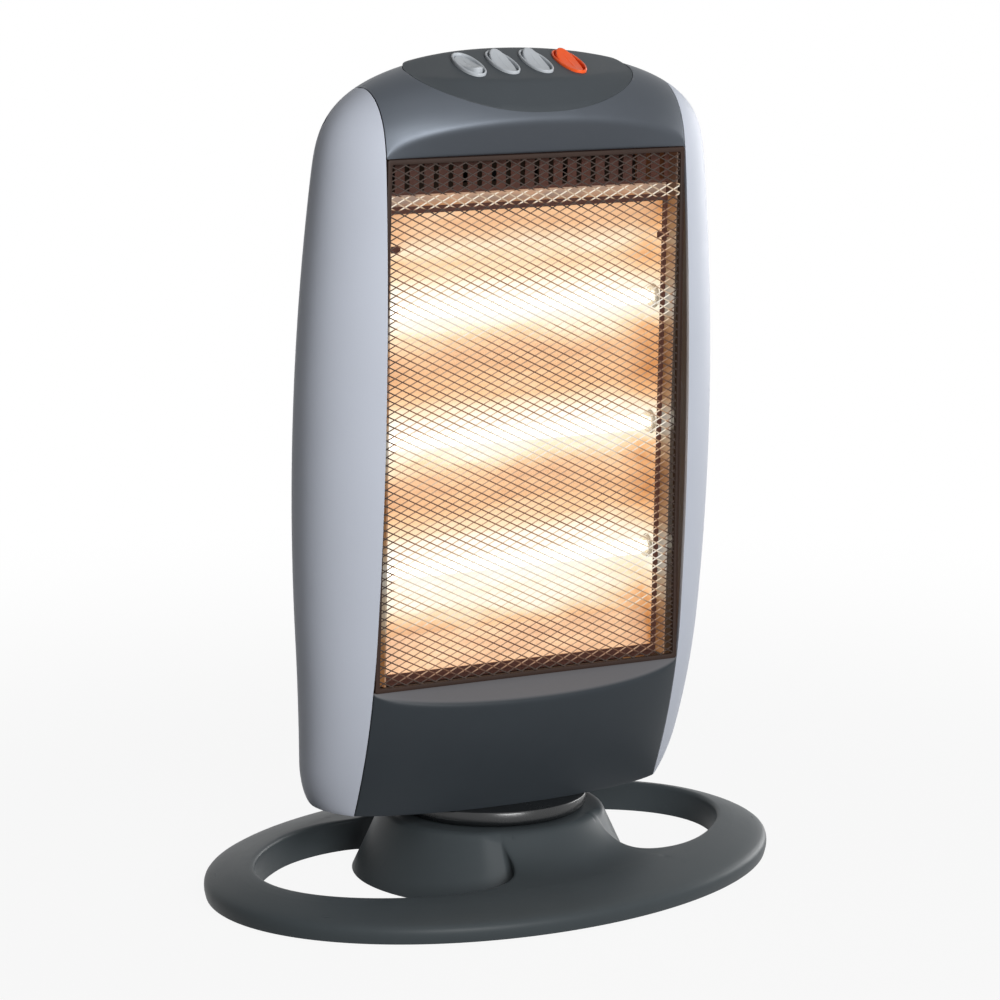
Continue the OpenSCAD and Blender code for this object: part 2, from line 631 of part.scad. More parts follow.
// side view of the reflector sheet's front face, as [up, depth] points
function trough(c) = let (a = asin(tube_pitch / 2 / trough_r), n = 10)
    [for (i = [0:n]) let (b = -a + 2 * a * i / n)
        [c + trough_r * sin(b), cusp_depth + trough_depth - trough_r * (1 - cos(b))]];
module reflector() {
    line = concat([[window_y0 + fit_gap, reflector_depth]],
        trough(tube_y[0]), trough(tube_y[1]), trough(tube_y[2]),
        [[window_y1, reflector_depth], [window_top - fit_gap, reflector_depth]]);
    half = reflector_half_w - touch_gap;
    n = len(line);
    back = [for (i = [n - 1:-1:0]) [line[i][0], line[i][1] + reflector_t]];
    color(bright_alu) on_grille() translate([-half, 0, 0]) rotate([0, 90, 0])
        linear_extrude(half * 2) polygon([for (p = concat(line, back)) [p[1], p[0]]]);
}
// sheet set on edge at x, drawn as [depth, up]
module upright(x, t) {
    on_grille() translate([x, 0, 0]) rotate([0, 90, 0]) linear_extrude(t) children();
}
// the same piece on the head's left side
module left_hand() {
    on_head() mirror([1, 0, 0]) rotate([0, 0, head_turn]) children();
}
module cap_holes(r) {
    for (y = tube_y) translate([tube_depth, y]) circle(r = r);
}
module reflector_end() {
    color(bright_alu) upright(reflector_half_w, sheet_t) difference() {
        translate([reflector_depth, window_y0])
            square([end_depth - reflector_depth, reflector_h]);
        cap_holes(cap_hole_r);
    }
}
module reflector_end_right() { reflector_end(); }
module reflector_end_left() { left_hand() reflector_end(); }
module heat_shield() {
    half = rail_x - touch_gap;
    margin = 20;
    vent = 8;
    color(zinc) on_grille(shield_depth) difference() {
        translate([-half, window_y0 - margin, 0]) cube([2 * half, reflector_h + 2 * margin, sheet_t]);
        for (i = [-3:3]) translate([3 * i * vent - vent / 2, window_y1 + vent, -1]) cube([vent, vent, 4]);
    }
}
// side rail standing on the head's floor, with stand-offs for the rear cover's screws
standoff = [7, 10];     // width and height
relief = 6;             // depth of the notches in a rail's back edge
relief_h = 16;
relief_pitch = 40;
pilot_len = 20;         // depth of the holes that the rear cover's screws bite in
module chassis() {
    front = border_back + touch_gap;
    x1 = rail_x + rail_t;
    function rail_y(z) = plane_y0 - tan(plane_lean) * (z - grille_z0) + rail_depth;
    color(zinc) difference() {
        union() {
            upright(rail_x, rail_t) difference() {
                union() {
                    translate([front, border_w]) square([rail_depth - front, grille_h - 2 * border_w]);
                    translate([low_rail_depth, -lower_panel_h])
                        square([rail_depth - low_rail_depth, lower_panel_h + 2 * border_w]);
                }
                cap_holes(cap_hole_r);
                for (y = [relief_pitch:relief_pitch:grille_h - relief_pitch])
                    translate([rail_depth - relief, y]) square([relief + 1, relief_h]);
            }
            // a block behind the heat shield, on a web in the plane of the rail
            on_head() for (z = rear_screw_z) {
                y0 = rail_y(z) + fit_gap;
                y1 = min(rear_y(x1, z + standoff[1] / 2, shell_wall),
                    rear_y(x1, z - standoff[1] / 2, shell_wall)) - touch_gap;
                translate([x1 - standoff[0], y0, z - standoff[1] / 2])
                    cube([standoff[0], y1 - y0, standoff[1]]);
                translate([rail_x, y0 - 2 * relief, z - standoff[1] / 2])
                    cube([rail_t, y1 - y0 + 2 * relief, standoff[1]]);
            }
        }
        on_head() translate([-head_half_w, -head_half_w, 0])
            cube([2 * head_half_w, 2 * head_half_w, head_bottom_z + floor_t]);
        on_head() for (z = rear_screw_z) translate([cover_screw_x, rear_seat(z), z]) rotate([90, 0, 0])
            cylinder(r = rear_screw_r + running_gap, h = pilot_len);
    }
}
module chassis_right() { chassis(); }
module chassis_left() { left_hand() chassis(); }
holder_t = 6;
holder_block = 22;      // side of the square block round a tube's end
holder_spine = 4;
module lamp_holder() {
    color("#d9d4c6") upright(rail_x + rail_t, holder_t) difference() {
        union() {
            for (y = tube_y) translate([tube_depth, y]) square([holder_block, holder_block], center = true);
            translate([tube_depth + holder_block / 2 - holder_spine, tube_y[0]])
                square([holder_spine, 2 * tube_pitch]);
        }
        cap_holes(cap_r + running_gap);
    }
}
module lamp_holder_right() { lamp_holder(); }
module lamp_holder_left() { left_hand() lamp_holder(); }
// a rod across the head at the height of a tube
module across(y, half) {
    on_grille(tube_depth) translate([-half, y, 0]) rotate([0, 90, 0]) children();
}
module halogen_tube(y) {
    color("#f6e7c4") across(y, glass_half) difference() {
        cylinder(r = tube_r, h = 2 * glass_half);
        translate([0, 0, glass_plug]) cylinder(r = tube_r - 1, h = 2 * (glass_half - glass_plug));
    }
}
module filament(y) {
    half = glass_half - glass_plug;
    color("#ffb050") across(y, half) cylinder(r = filament_r, h = 2 * half);
}
module halogen_tube_bottom() { halogen_tube(tube_y[0]); }
module halogen_tube_middle() { halogen_tube(tube_y[1]); }
module halogen_tube_top() { halogen_tube(tube_y[2]); }
module filament_bottom() { filament(tube_y[0]); }
module filament_middle() { filament(tube_y[1]); }
module filament_top() { filament(tube_y[2]); }
module tube_caps() {
    color("#efece4") for (y = tube_y, s = [0, 1])
        on_grille(tube_depth) mirror([s, 0, 0]) translate([glass_half - cap_grip, y, 0])
            rotate([0, 90, 0]) difference() {
                cylinder(r = cap_r, h = cap_len);
                translate([0, 0, -1]) cylinder(r = tube_r + running_gap, h = cap_grip + 1 + running_gap);
            }
}
cutout_h = 4;
module thermal_cutout() {
    color("#8d8f92") on_grille(shield_depth + touch_gap + cutout_h) translate([40, tube_y[2], 0]) {
        cylinder(r = 7, h = cutout_h);
        translate([-11, -3, cutout_h - 1]) cube([22, 6, 1]);
    }
}

// ---------- head floor, turntable and swivel ----------
floor_t = 3;
module section_outline(z, w) {
    polygon(concat(
        [for (j = [0:face_cols]) let (x = face_x(face_t(j), z)) [x, front_y(x, z, w)]],
        [for (j = [1:side_cols - 1]) let (p = side_point(z, sin(-90 + 180 * j / side_cols), w))
            [-p[0], p[1]]],
        [for (j = [0:face_cols]) let (x = -face_x(face_t(j), z)) [x, rear_y(x, z, w)]],
        [for (j = [1:side_cols - 1]) let (p = side_point(z, -sin(-90 + 180 * j / side_cols), w))
            [p[0], p[1]]]));
}
floor_screw_r = 44;
floor_screw_angles = [15, 165, 225, 315];  // clear of the crank's slot and the cover's heel
module head_floor() {
    color(dark_slate) on_head() difference() {
        translate([0, 0, head_bottom_z]) linear_extrude(floor_t)
            section_outline(head_bottom_z, shell_wall + fit_gap);
        translate([0, 0, head_bottom_z - 1]) cylinder(r = lock_ring_r + 1, h = floor_t + 2);
        for (a = floor_screw_angles) rotate([0, 0, a]) translate([floor_screw_r, 0, head_bottom_z - 1])
            cylinder(r = 2 + hole_gap, h = floor_t + 2);
    }
}
module floor_screws() {
    color(zinc) on_head() for (a = floor_screw_angles) rotate([0, 0, a])
        translate([floor_screw_r, 0, 0]) {
            translate([0, 0, head_bottom_z - 3]) cylinder(r = 2, h = floor_t + 3);
            translate([0, 0, head_bottom_z + floor_t]) cylinder(r = 3.8, h = 2.2);
        }
}
skirt_z = hub_top_z + 1;    // foot of the turntable
roof_z = head_bottom_z - 4; // underside of the turntable's roof
bush_r = 7.5;
boss_r = 9.4;
slot_half_w = crank_pin_r + 2.5;
module turntable() {
    round_r = 3.5;
    color(gloss_black) on_head() difference() {
        rotate_extrude($fn = 128) {
            difference() {
                union() {
                    translate([0, skirt_z + round_r])
                        square([turntable_r, head_bottom_z - skirt_z - round_r]);
                    translate([0, skirt_z]) square([turntable_r - round_r, round_r + 1]);
                    translate([turntable_r - round_r, skirt_z + round_r]) circle(r = round_r);
                }
                translate([boss_r, skirt_z - 1])
                    square([turntable_r - round_r - 1 - boss_r, roof_z - skirt_z + 1]);
                translate([-20, skirt_z - 1]) square([20 + bush_r, 20]);
            }
        }
        translate([-slot_half_w, crank_offset - crank_throw, roof_z - 1])
            cube([slot_half_w * 2, crank_throw * 2, 6]);
        for (y = [-1, 1]) translate([0, crank_offset + y * crank_throw, roof_z - 1])
            cylinder(r = slot_half_w, h = 6);
        for (a = floor_screw_angles) rotate([0, 0, a]) translate([floor_screw_r, 0, head_bottom_z - 3.2])
            cylinder(r = 2 + running_gap, h = 5);
    }
}
module pivot_bush() {
    color("#e6e3d8") on_head() translate([0, 0, skirt_z]) difference() {
        cylinder(r = bush_r - running_gap, h = head_bottom_z - skirt_z);
        translate([0, 0, -1]) cylinder(r = pivot_r + running_gap, h = 20);
    }
}
flange_r = 10.5;
flange_t = 2;
top_plate_t = 3;
tube_top_z = head_bottom_z + floor_t + 14;
module pivot_tube() {
    z0 = hub_top_z - top_plate_t - flange_t;
    color(zinc) difference() {
        union() {
            translate([0, 0, z0]) cylinder(r = pivot_r, h = tube_top_z - z0);
            translate([0, 0, z0]) cylinder(r = flange_r, h = flange_t);
        }
        translate([0, 0, z0 - 1]) cylinder(r = pivot_bore_r, h = tube_top_z - z0 + 2);
    }
}
module pivot_washer() {
    color("#e6e3d8") translate([0, 0, hub_top_z]) difference() {
        cylinder(r = boss_r, h = skirt_z - hub_top_z - running_gap);
        translate([0, 0, -1]) cylinder(r = pivot_r + running_gap, h = 4);
    }
}
lock_ring_r = 12;
module pivot_lock_ring() {
    color(zinc) translate([0, 0, head_bottom_z + 0.3]) difference() {
        cylinder(r = lock_ring_r, h = 2.2);
        translate([0, 0, -1]) cylinder(r = pivot_r + running_gap / 2, h = 5);
    }
}

// ---------- oscillation drive ----------
shaft_r = 3;
motor_r = 25;
motor_shift = 8;        // the can's middle lies this far behind its shaft
motor_h = 17;
motor_top_z = hub_top_z - top_plate_t - 1;
ear_x = 31;
module motor_place() {
    translate([0, crank_offset + motor_shift, motor_top_z]) children();
}
module oscillation_motor() {
    color(zinc) motor_place() difference() {
        union() {
            translate([0, 0, -motor_h]) cylinder(r = motor_r, h = motor_h);
            translate([-ear_x - 4, -4, -1.2]) cube([2 * ear_x + 8, 8, 1.2]);
        }
        translate([0, -motor_shift, -5]) cylinder(r = shaft_r + running_gap, h = 6);
        for (s = [-1, 1]) translate([s * ear_x, 0, -5]) cylinder(r = 1.9, h = 6);
    }
}
module motor_screws() {
    color(zinc) motor_place() for (s = [-1, 1]) translate([s * ear_x, 0, 0]) {
        translate([0, 0, -3.4]) cylinder(r = small_head_r, h = 2.2);
        translate([0, 0, -1.3]) cylinder(r = small_screw_r, h = 3.2);
    }
}
// the crank turns three times as fast as the head near its rest position
crank_ratio = 3;
disc_z = skirt_z + 0.6;
disc_t = 2.4;
module motor_shaft() {
    color(zinc) translate([0, crank_offset, motor_top_z - 4.6])
        cylinder(r = shaft_r, h = disc_z + disc_t - motor_top_z + 4.6);
}
module crank_disc() {
    disc_r = crank_throw + crank_pin_r + 1.5;
    color("#e6e3d8") translate([0, crank_offset, disc_z])
        rotate([0, 0, -head_turn * crank_ratio]) difference() {
            union() {
                cylinder(r = disc_r, h = disc_t);
                translate([0, crank_throw, 0])
                    cylinder(r = crank_pin_r, h = head_bottom_z - disc_z - 1);
            }
            translate([0, 0, -1]) cylinder(r = shaft_r + running_gap, h = disc_t + 2);
        }
}

// ---------- tip-over switch ----------
tip_y = -44;            // place of the plunger in front of the pivot
plunger_r = 4;
tip_travel = 5;         // the plunger drops this far when the base is lifted
cover_z = foot_t + 0.6; // underside of the bottom cover
cover_t = 2.4;
collar_t = 1.6;         // collar that keeps the plunger in
collar_z = cover_z + cover_t + tip_travel + fit_gap;
tip_body_z = collar_z + 10.6;
tip_body_h = 12;
stem_r = 1.9;
stem_hole_r = stem_r + hole_gap;
stem_len = 15.5;
module tip_switch() {
    leg_x = 8;
    color("#1b1c1e") difference() {
        union() {
            translate([-10, tip_y - 7, tip_body_z]) cube([20, 14, tip_body_h]);
            for (x = [-leg_x, leg_x]) translate([x, tip_y, cover_z + cover_t])
                cylinder(r = 2, h = tip_body_z - cover_z - cover_t + eps);
        }
        translate([0, tip_y, tip_body_z - 1]) cylinder(r = stem_hole_r, h = 9);
    }
}
module tip_plunger() {
    color("#c8372d") translate([0, tip_y, 0]) {
        cylinder(r = plunger_r, h = collar_z + eps);
        translate([0, 0, collar_z]) cylinder(r = plunger_r + 1.2, h = collar_t);
        translate([0, 0, collar_z + collar_t - eps]) cylinder(r = stem_r, h = stem_len);
    }
}
spring_turns = 5;
spring_wire_r = 0.35;
spring_r = 2.9;
module tip_spring() {
    sides = 6;
    steps = 8;              // rings to a turn
    n = spring_turns * steps;
    z0 = collar_z + collar_t + spring_wire_r * 1.3;
    z1 = tip_body_z - spring_wire_r * 1.3;
    pts = [for (i = [0:n], k = [0:sides - 1]) let (a = 360 * i / steps, b = 360 * k / sides)
        [(spring_r + spring_wire_r * cos(b)) * cos(a), (spring_r + spring_wire_r * cos(b)) * sin(a),
            z0 + (z1 - z0) * i / n + spring_wire_r * sin(b)]];
    ends = [[for (k = [0:sides - 1]) k], [for (k = [sides - 1:-1:0]) n * sides + k]];
    walls = [for (i = [0:n - 1], k = [0:sides - 1]) each
        let (a = i * sides + k, b = i * sides + (k + 1) % sides)
        [[a, a + sides, b + sides], [a, b + sides, b]]];
    color(zinc) translate([0, tip_y, 0]) polyhedron(points = pts, faces = concat(ends, walls));
}

// ---------- base ----------
base_a = base_len / 2;
base_b = base_wid / 2;
ring_steps = 72;
// ring section as [share of the way in, height], from the outer foot over the top
function ring_profile(w) = let (k = w / ring_side_w) concat(
    [[0.03 + k, foot_t]],
    [[0.005 + k, foot_t + 3.5], [0 + k, lip_h - 4 - w * 0.3], [0.02 + k, lip_h - 1.2 - w * 0.6],
     [0.08 + k * 0.9, lip_h + 1 - w], [0.2 + k * 0.7, lip_h + 2.9 - w],
     [0.5, lip_h + 6.2 - w], [0.8 - k * 0.7, ring_h - 0.9 - w],
     [0.96 - k, ring_h - 0.2 - w], [1 - k, ring_h - 1.2 - w], [1 - k, foot_t]]);
function ring_point(p, a) = [(base_a - ring_side_w * p[0]) * cos(a),
    (base_b - ring_front_w * p[0]) * sin(a), p[1]];
module ring_channel() {
    loop = concat(ring_profile(0), [for (i = [10:-1:0]) ring_profile(base_wall)[i]]);
    m = len(loop);
    pts = [for (s = [0:ring_steps - 1], p = loop) ring_point(p, 360 * s / ring_steps)];
    faces = [for (s = [0:ring_steps - 1], k = [0:m - 1])
        let (s2 = (s + 1) % ring_steps, k2 = (k + 1) % m)
        each [[s * m + k, s * m + k2, s2 * m + k2], [s * m + k, s2 * m + k2, s2 * m + k]]];
    polyhedron(points = pts, faces = faces);
}
// the bridge's top dips from the hub to the ring in a hollow curve
bridge_y0 = hub_top_r - 14; // the bridge starts inside the hub
bridge_y1 = base_b - ring_front_w;
bridge_power = 1.6;
module bridge_side(drop, foot_z) {
    n = 12;
    y1 = bridge_y1 + 3;
    polygon(concat([for (i = [0:n]) let (t = i / n)
        [bridge_y0 + (y1 - bridge_y0) * t,
            ring_h - 0.4 + (hub_top_z - ring_h) * pow(1 - t, bridge_power) - drop]],
        [[y1, foot_z], [bridge_y0, foot_z]]));
}
// inner edge of the ring, seen from above
module ring_hole() {
    polygon([for (s = [0:ring_steps - 1])
        let (p = ring_point([1, 0], 360 * s / ring_steps)) [p[0], p[1]]]);
}
// bridge seen from above, widening where it meets the ring
module bridge_plan() {
    module side_hole() {
        offset(r = bridge_corner_r, $fn = 48) offset(delta = -bridge_corner_r) intersection() {
            ring_hole();
            translate([bridge_half_w, -base_b]) square([base_len, base_wid]);
        }
    }
    difference() {
        intersection() {
            offset(delta = 2) ring_hole();
            square([2 * bridge_half_w + 4 * bridge_corner_r, base_wid], center = true);
        }
        side_hole();
        mirror([1, 0]) side_hole();
    }
}
module bridge_block(inset, drop, foot_z) {
    intersection() {
        translate([0, 0, -1]) linear_extrude(hub_top_z + 2) offset(delta = -inset) bridge_plan();
        rotate([90, 0, -90]) translate([0, 0, -base_b])
            linear_extrude(base_wid) bridge_side(drop, foot_z);
    }
}
module bridge() {
    difference() {
        bridge_block(0, 0, foot_t);
        bridge_block(base_wall, base_wall, foot_t - 1);
    }
}
foot_angles = [25, 65, 115, 155, 205, 245, 295, 335];
function foot_place(a) = ring_point([0.5, 0], a);
module hub_shell() {
    w = base_wall;
    rotate_extrude($fn = 128) polygon([
        [hub_floor_r - w, foot_t], [hub_floor_r, foot_t], [hub_top_r + 1.2, hub_top_z - 2.6],
        [hub_top_r, hub_top_z - 0.8], [hub_top_r - 1.8, hub_top_z],
        [pivot_r + running_gap / 2, hub_top_z], [pivot_r + running_gap / 2, hub_top_z - top_plate_t],
        [hub_top_r - w - 1, hub_top_z - top_plate_t]]);
}
module base_moulding() {
    color(slate) difference() {
        union() {
            ring_channel();
            difference() {
                union() {
                    bridge();
                    mirror([0, 1, 0]) bridge();
                }
                translate([0, 0, -1]) cylinder(r1 = hub_floor_r - 3.2, r2 = hub_top_r - 4.2,
                    h = hub_top_z - 1, $fn = 128);
            }
            hub_shell();
            for (a = foot_angles) translate(foot_place(a)) translate([0, 0, foot_t])
                cylinder(r = foot_r + 1, h = lip_h + 3.2 - foot_t);
            for (a = cover_screw_angles) rotate([0, 0, a]) translate([cover_screw_r, 0, cover_z + cover_t])
                cylinder(r = 4, h = hub_top_z - top_plate_t - cover_z - cover_t + eps);
            motor_place() for (s = [-1, 1]) translate([s * ear_x, 0, 0]) cylinder(r = 3.6, h = 1.2);
        }
        translate([0, crank_offset, hub_top_z - 10]) cylinder(r = shaft_r + 1.5, h = 12);
        for (a = cover_screw_angles) rotate([0, 0, a]) translate([cover_screw_r, 0, cover_z])
            cylinder(r = small_screw_r + running_gap, h = cover_screw_len + 2);
        motor_place() for (s = [-1, 1]) translate([s * ear_x, 0, -1])
            cylinder(r = small_screw_r + running_gap, h = 3.2);
    }
}
cover_screw_angles = [30, 150, 210, 330];
cover_screw_r = 56;
cover_r = hub_floor_r - base_wall - 3.8;
small_screw_r = 1.5;
small_head_r = 3.2;
small_head_t = 1.6;
cover_screw_len = 10;
module base_bottom_cover() {
    color(dark_slate) translate([0, 0, cover_z]) difference() {
        cylinder(r = cover_r, h = cover_t, $fn = 128);
        translate([0, tip_y, -1]) cylinder(r = plunger_r + 0.4, h = cover_t + 2);
        for (a = cover_screw_angles) rotate([0, 0, a]) translate([cover_screw_r, 0, -1])
            cylinder(r = small_screw_r + hole_gap, h = cover_t + 2);
    }
}
module cover_screws() {
    color(zinc) for (a = cover_screw_angles) rotate([0, 0, a]) translate([cover_screw_r, 0, 0]) {
        translate([0, 0, cover_z - small_head_t]) cylinder(r = small_head_r, h = small_head_t);
        translate([0, 0, cover_z - touch_gap]) cylinder(r = small_screw_r, h = cover_screw_len);
    }
}
module base_feet() {
    color(rubber) for (a = foot_angles) translate(foot_place(a)) cylinder(r = foot_r, h = foot_t);
}
terminal_at = [40, 16, head_bottom_z + floor_t];
terminal_size = [36, 16, 14];
module terminal_block() {
    ways = 4;
    pitch = terminal_size[0] / ways;
    color("#d8d3c4") on_head() translate(terminal_at) difference() {
        cube(terminal_size);
        for (i = [0:ways - 1]) translate([(i + 0.5) * pitch, terminal_size[1] / 2, 6])
            cylinder(r = 2, h = terminal_size[2]);
    }
}
// bundle of wires from the terminal block up the back of the heat shield to the switches
loom_r = 2.2;
module wiring_loom() {
    deep = housing_h + blade[2];
    blade_y = key_y + sin(panel_slope) * deep;
    top_z = bed_z(key_y) - cos(panel_slope) * deep - loom_r - 1.4;
    start = terminal_at + [terminal_size[0] / 2, terminal_size[1] / 2, terminal_size[2]];
    route = [start, start + [0, 0, 20], [start[0] + 2, 12, grip_z - 20], [start[0] + 2, 10, grip_z + 20],
        [40, blade_y, top_z], [-40, blade_y, top_z]];
    color("#2a2a2c") on_head() for (i = [0:len(route) - 2]) let (d = route[i + 1] - route[i], l = norm(d))
        translate(route[i]) {
            rotate([0, acos(d[2] / l), atan2(d[1], d[0])]) cylinder(r = loom_r, h = l);
            if (i > 0) sphere(r = loom_r + 0.4);
        }
}

base_moulding();
base_bottom_cover();
base_feet();
cover_screws();
pivot_tube();
pivot_washer();
pivot_lock_ring();
oscillation_motor();
motor_screws();
motor_shaft();
crank_disc();
tip_switch();
tip_plunger();
tip_spring();
turntable();
pivot_bush();
head_floor();
floor_screws();
lower_panel();
brow_panel();
side_panel_left();
side_panel_right();
side_panel_screws();
rear_cover();
rear_cover_screws();
carry_grip();
cord_gland();
control_panel();
rocker_switch_1();
rocker_switch_2();
rocker_switch_3();
oscillation_switch();
rocker_key_1();
rocker_key_2();
rocker_key_3();
oscillation_key();
grille_mesh();
grille_border();
element_frame();
reflector();
reflector_end_left();
reflector_end_right();
heat_shield();
chassis_left();
chassis_right();
lamp_holder_left();
lamp_holder_right();
halogen_tube_top();
halogen_tube_middle();
halogen_tube_bottom();
filament_top();
filament_middle();
filament_bottom();
tube_caps();
thermal_cutout();
terminal_block();
wiring_loom();
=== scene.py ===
# %% [markdown]
# # A halogen heater, dressed
# The packed model is a set of exact but plain solids. This lesson keeps them as a fixed frame and puts
# the looks on: moulded shells as fine numpy surfaces, a diamond net, a glowing reflector, and a
# node-based finish on every piece. Each cell makes one piece or one finish of the real heater.

# %% The frame
import json
import math

import bmesh
import bpy
import numpy as np
from mathutils import Matrix, Vector


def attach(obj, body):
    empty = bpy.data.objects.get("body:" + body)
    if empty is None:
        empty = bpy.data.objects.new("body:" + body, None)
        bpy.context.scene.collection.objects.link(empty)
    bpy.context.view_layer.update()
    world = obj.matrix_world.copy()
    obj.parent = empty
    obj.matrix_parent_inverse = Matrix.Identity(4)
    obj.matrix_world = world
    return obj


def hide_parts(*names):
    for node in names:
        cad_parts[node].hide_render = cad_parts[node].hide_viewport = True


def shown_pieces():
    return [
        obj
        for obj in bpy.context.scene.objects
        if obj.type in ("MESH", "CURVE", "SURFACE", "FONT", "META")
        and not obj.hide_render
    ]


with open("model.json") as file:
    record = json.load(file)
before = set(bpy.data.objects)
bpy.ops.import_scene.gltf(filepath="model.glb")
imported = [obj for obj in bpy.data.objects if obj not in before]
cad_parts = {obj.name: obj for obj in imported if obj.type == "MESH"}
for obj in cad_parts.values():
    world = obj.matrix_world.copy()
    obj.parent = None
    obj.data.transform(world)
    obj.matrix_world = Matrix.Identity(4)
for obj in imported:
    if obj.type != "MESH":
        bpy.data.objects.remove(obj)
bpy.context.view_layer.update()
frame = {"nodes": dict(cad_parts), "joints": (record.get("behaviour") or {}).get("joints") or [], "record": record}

# %% [markdown]
# ## Two frames
# Sizes below are millimetres in the head's own frame, where the head faces -Y. The head stands turned
# on its base, so its pieces are turned about Z before they go into the scene. The turn comes from the
# frame: the rocker keys hinge about the head's own X axis.

# %% From the head's millimetres to the scene's metres
MM = 0.001
key_axis = next(j["axis"] for j in frame["joints"] if j["name"] == "key_1_rock")
HEAD_TURN = math.atan2(key_axis[1], key_axis[0])
HEAD_X = np.array([math.cos(HEAD_TURN), math.sin(HEAD_TURN), 0.0])
HEAD_Y = np.array([-math.sin(HEAD_TURN), math.cos(HEAD_TURN), 0.0])
UP = np.array([0.0, 0.0, 1.0])


def on_head(points):
    """Points in the head's frame, in mm, turned with the head and scaled to metres."""
    p = np.asarray(points, float)
    return MM * (p[..., :1] * HEAD_X + p[..., 1:2] * HEAD_Y + p[..., 2:] * UP)


def on_base(points):
    """Points in the base's frame, in mm, scaled to metres."""
    return MM * np.asarray(points, float)


print("head turned", round(math.degrees(HEAD_TURN), 2), "degrees")

# %% [markdown]
# ## The camera
# The photograph was taken from low on the heater's left with a long lens. Camera and target were
# fitted once to the outlines of base and head, and are kept as an orbit: azimuth, elevation, distance.

# %% Camera
CAMERA_AZIMUTH = math.radians(-39.69)
CAMERA_ELEVATION = math.radians(10.55)
CAMERA_ROLL = math.radians(0.13)
CAMERA_DISTANCE = 2.2615
CAMERA_SIDE = 0.005
CAMERA_AIM_Z = 0.2389
CAMERA_LENS = 130.02
CAMERA_SENSOR = 36.0
CAMERA_NEAR = 0.05

across = Vector((math.cos(CAMERA_AZIMUTH), math.sin(CAMERA_AZIMUTH), 0.0))
backward = Vector((math.sin(CAMERA_AZIMUTH) * math.cos(CAMERA_ELEVATION),
                   -math.cos(CAMERA_AZIMUTH) * math.cos(CAMERA_ELEVATION),
                   math.sin(CAMERA_ELEVATION)))
upward = backward.cross(across)
rolled_across = across * math.cos(CAMERA_ROLL) + upward * math.sin(CAMERA_ROLL)
rolled_upward = upward * math.cos(CAMERA_ROLL) - across * math.sin(CAMERA_ROLL)
camera_data = bpy.data.cameras.new("camera")
camera_data.lens = CAMERA_LENS
camera_data.sensor_width = CAMERA_SENSOR
camera_data.clip_start = CAMERA_NEAR
camera = bpy.data.objects.new("camera", camera_data)
bpy.context.scene.collection.objects.link(camera)
camera.location = across * CAMERA_SIDE + Vector((0, 0, CAMERA_AIM_Z)) + backward * CAMERA_DISTANCE
camera.rotation_euler = Matrix((rolled_across, rolled_upward, backward)).transposed().to_euler()
bpy.context.scene.camera = camera
print("camera at", [round(v, 3) for v in camera.location])

# %% [markdown]
# ## Meshes from arrays
# A moulded shell is a surface with two parameters, so it is computed as one array of points, rows by
# columns, and one array of quads. Joining points by hand would be slow and easy to get wrong. The two
# helpers here number the quads of such a grid and put the arrays into a mesh.

# %% Grids of points
def grid_quads(rows, columns, closed=False):
    """Quads of a grid stored row by row. closed joins the last column to the first."""
    i = np.arange(rows - 1)[:, None]
    j = np.arange(columns if closed else columns - 1)[None, :]
    k = (j + 1) % columns
    quads = [i * columns + j, i * columns + k, (i + 1) * columns + k, (i + 1) * columns + j]
    return np.stack(np.broadcast_arrays(*quads), -1).reshape(-1, 4)


def mesh_piece(name, points, faces):
    """A mesh object at the origin from points in metres and a list of faces."""
    mesh = bpy.data.meshes.new(name)
    mesh.from_pydata(np.asarray(points).reshape(-1, 3).tolist(), [], [list(map(int, f)) for f in faces])
    obj = bpy.data.objects.new(name, mesh)
    bpy.context.scene.collection.objects.link(obj)
    return obj


print("a grid of 3 by 4 points has", len(grid_quads(3, 4)), "quads")


# %% [markdown]
# ## Closed walls and rings
# A moulding has thickness, and a lathe or extruded part has ends. Both are closed here by number: a
# rim of quads between two grids, or a fan of triangles over the last ring. Doubled points, as at a
# pole, are merged, and then every face is turned to look outwards.

# %% Walls, rings and joins
def merged(obj, distance=2e-6):
    """Merges doubled points, drops faces without area and turns the faces outwards."""
    bm = bmesh.new()
    bm.from_mesh(obj.data)
    bmesh.ops.remove_doubles(bm, verts=bm.verts, dist=distance)
    bmesh.ops.dissolve_degenerate(bm, edges=bm.edges, dist=distance)
    bmesh.ops.recalc_face_normals(bm, faces=bm.faces)
    bm.to_mesh(obj.data)
    bm.free()
    return obj


def shell(name, outer, inner):
    """A closed wall between two grids of points with the same rows and columns."""
    rows, columns = outer.shape[:2]
    n = rows * columns
    front = grid_quads(rows, columns)
    index = np.arange(n).reshape(rows, columns)
    rim = np.concatenate([index[0, :-1], index[:-1, -1], index[-1, :0:-1], index[:0:-1, 0]])
    following = np.roll(rim, -1)
    walls = np.stack([rim, rim + n, following + n, following], -1)
    faces = np.concatenate([front, front[:, ::-1] + n, walls])
    return merged(mesh_piece(name, np.concatenate([outer.reshape(-1, 3), inner.reshape(-1, 3)]), faces))


def loft(name, rings, cap_start=True, cap_end=True):
    """A skin through closed rings of points, rings by points, closed with a fan at either end."""
    count, size = rings.shape[:2]
    points = rings.reshape(-1, 3)
    faces = list(grid_quads(count, size, closed=True))
    for wanted, ring in ((cap_start, 0), (cap_end, count - 1)):
        if wanted:
            centre = len(points)
            points = np.concatenate([points, rings[ring].mean(0)[None]])
            start = ring * size
            faces += [(start + k, start + (k + 1) % size, centre) for k in range(size)]
    return merged(mesh_piece(name, points, faces))


def joined(name, pieces):
    """One object from several, which are removed."""
    bm = bmesh.new()
    for obj in pieces:
        bm.from_mesh(obj.data)
        bpy.data.objects.remove(obj)
    whole = mesh_piece(name, np.zeros((0, 3)), [])
    bm.to_mesh(whole.data)
    bm.free()
    return whole


print("walls, rings and joins ready")

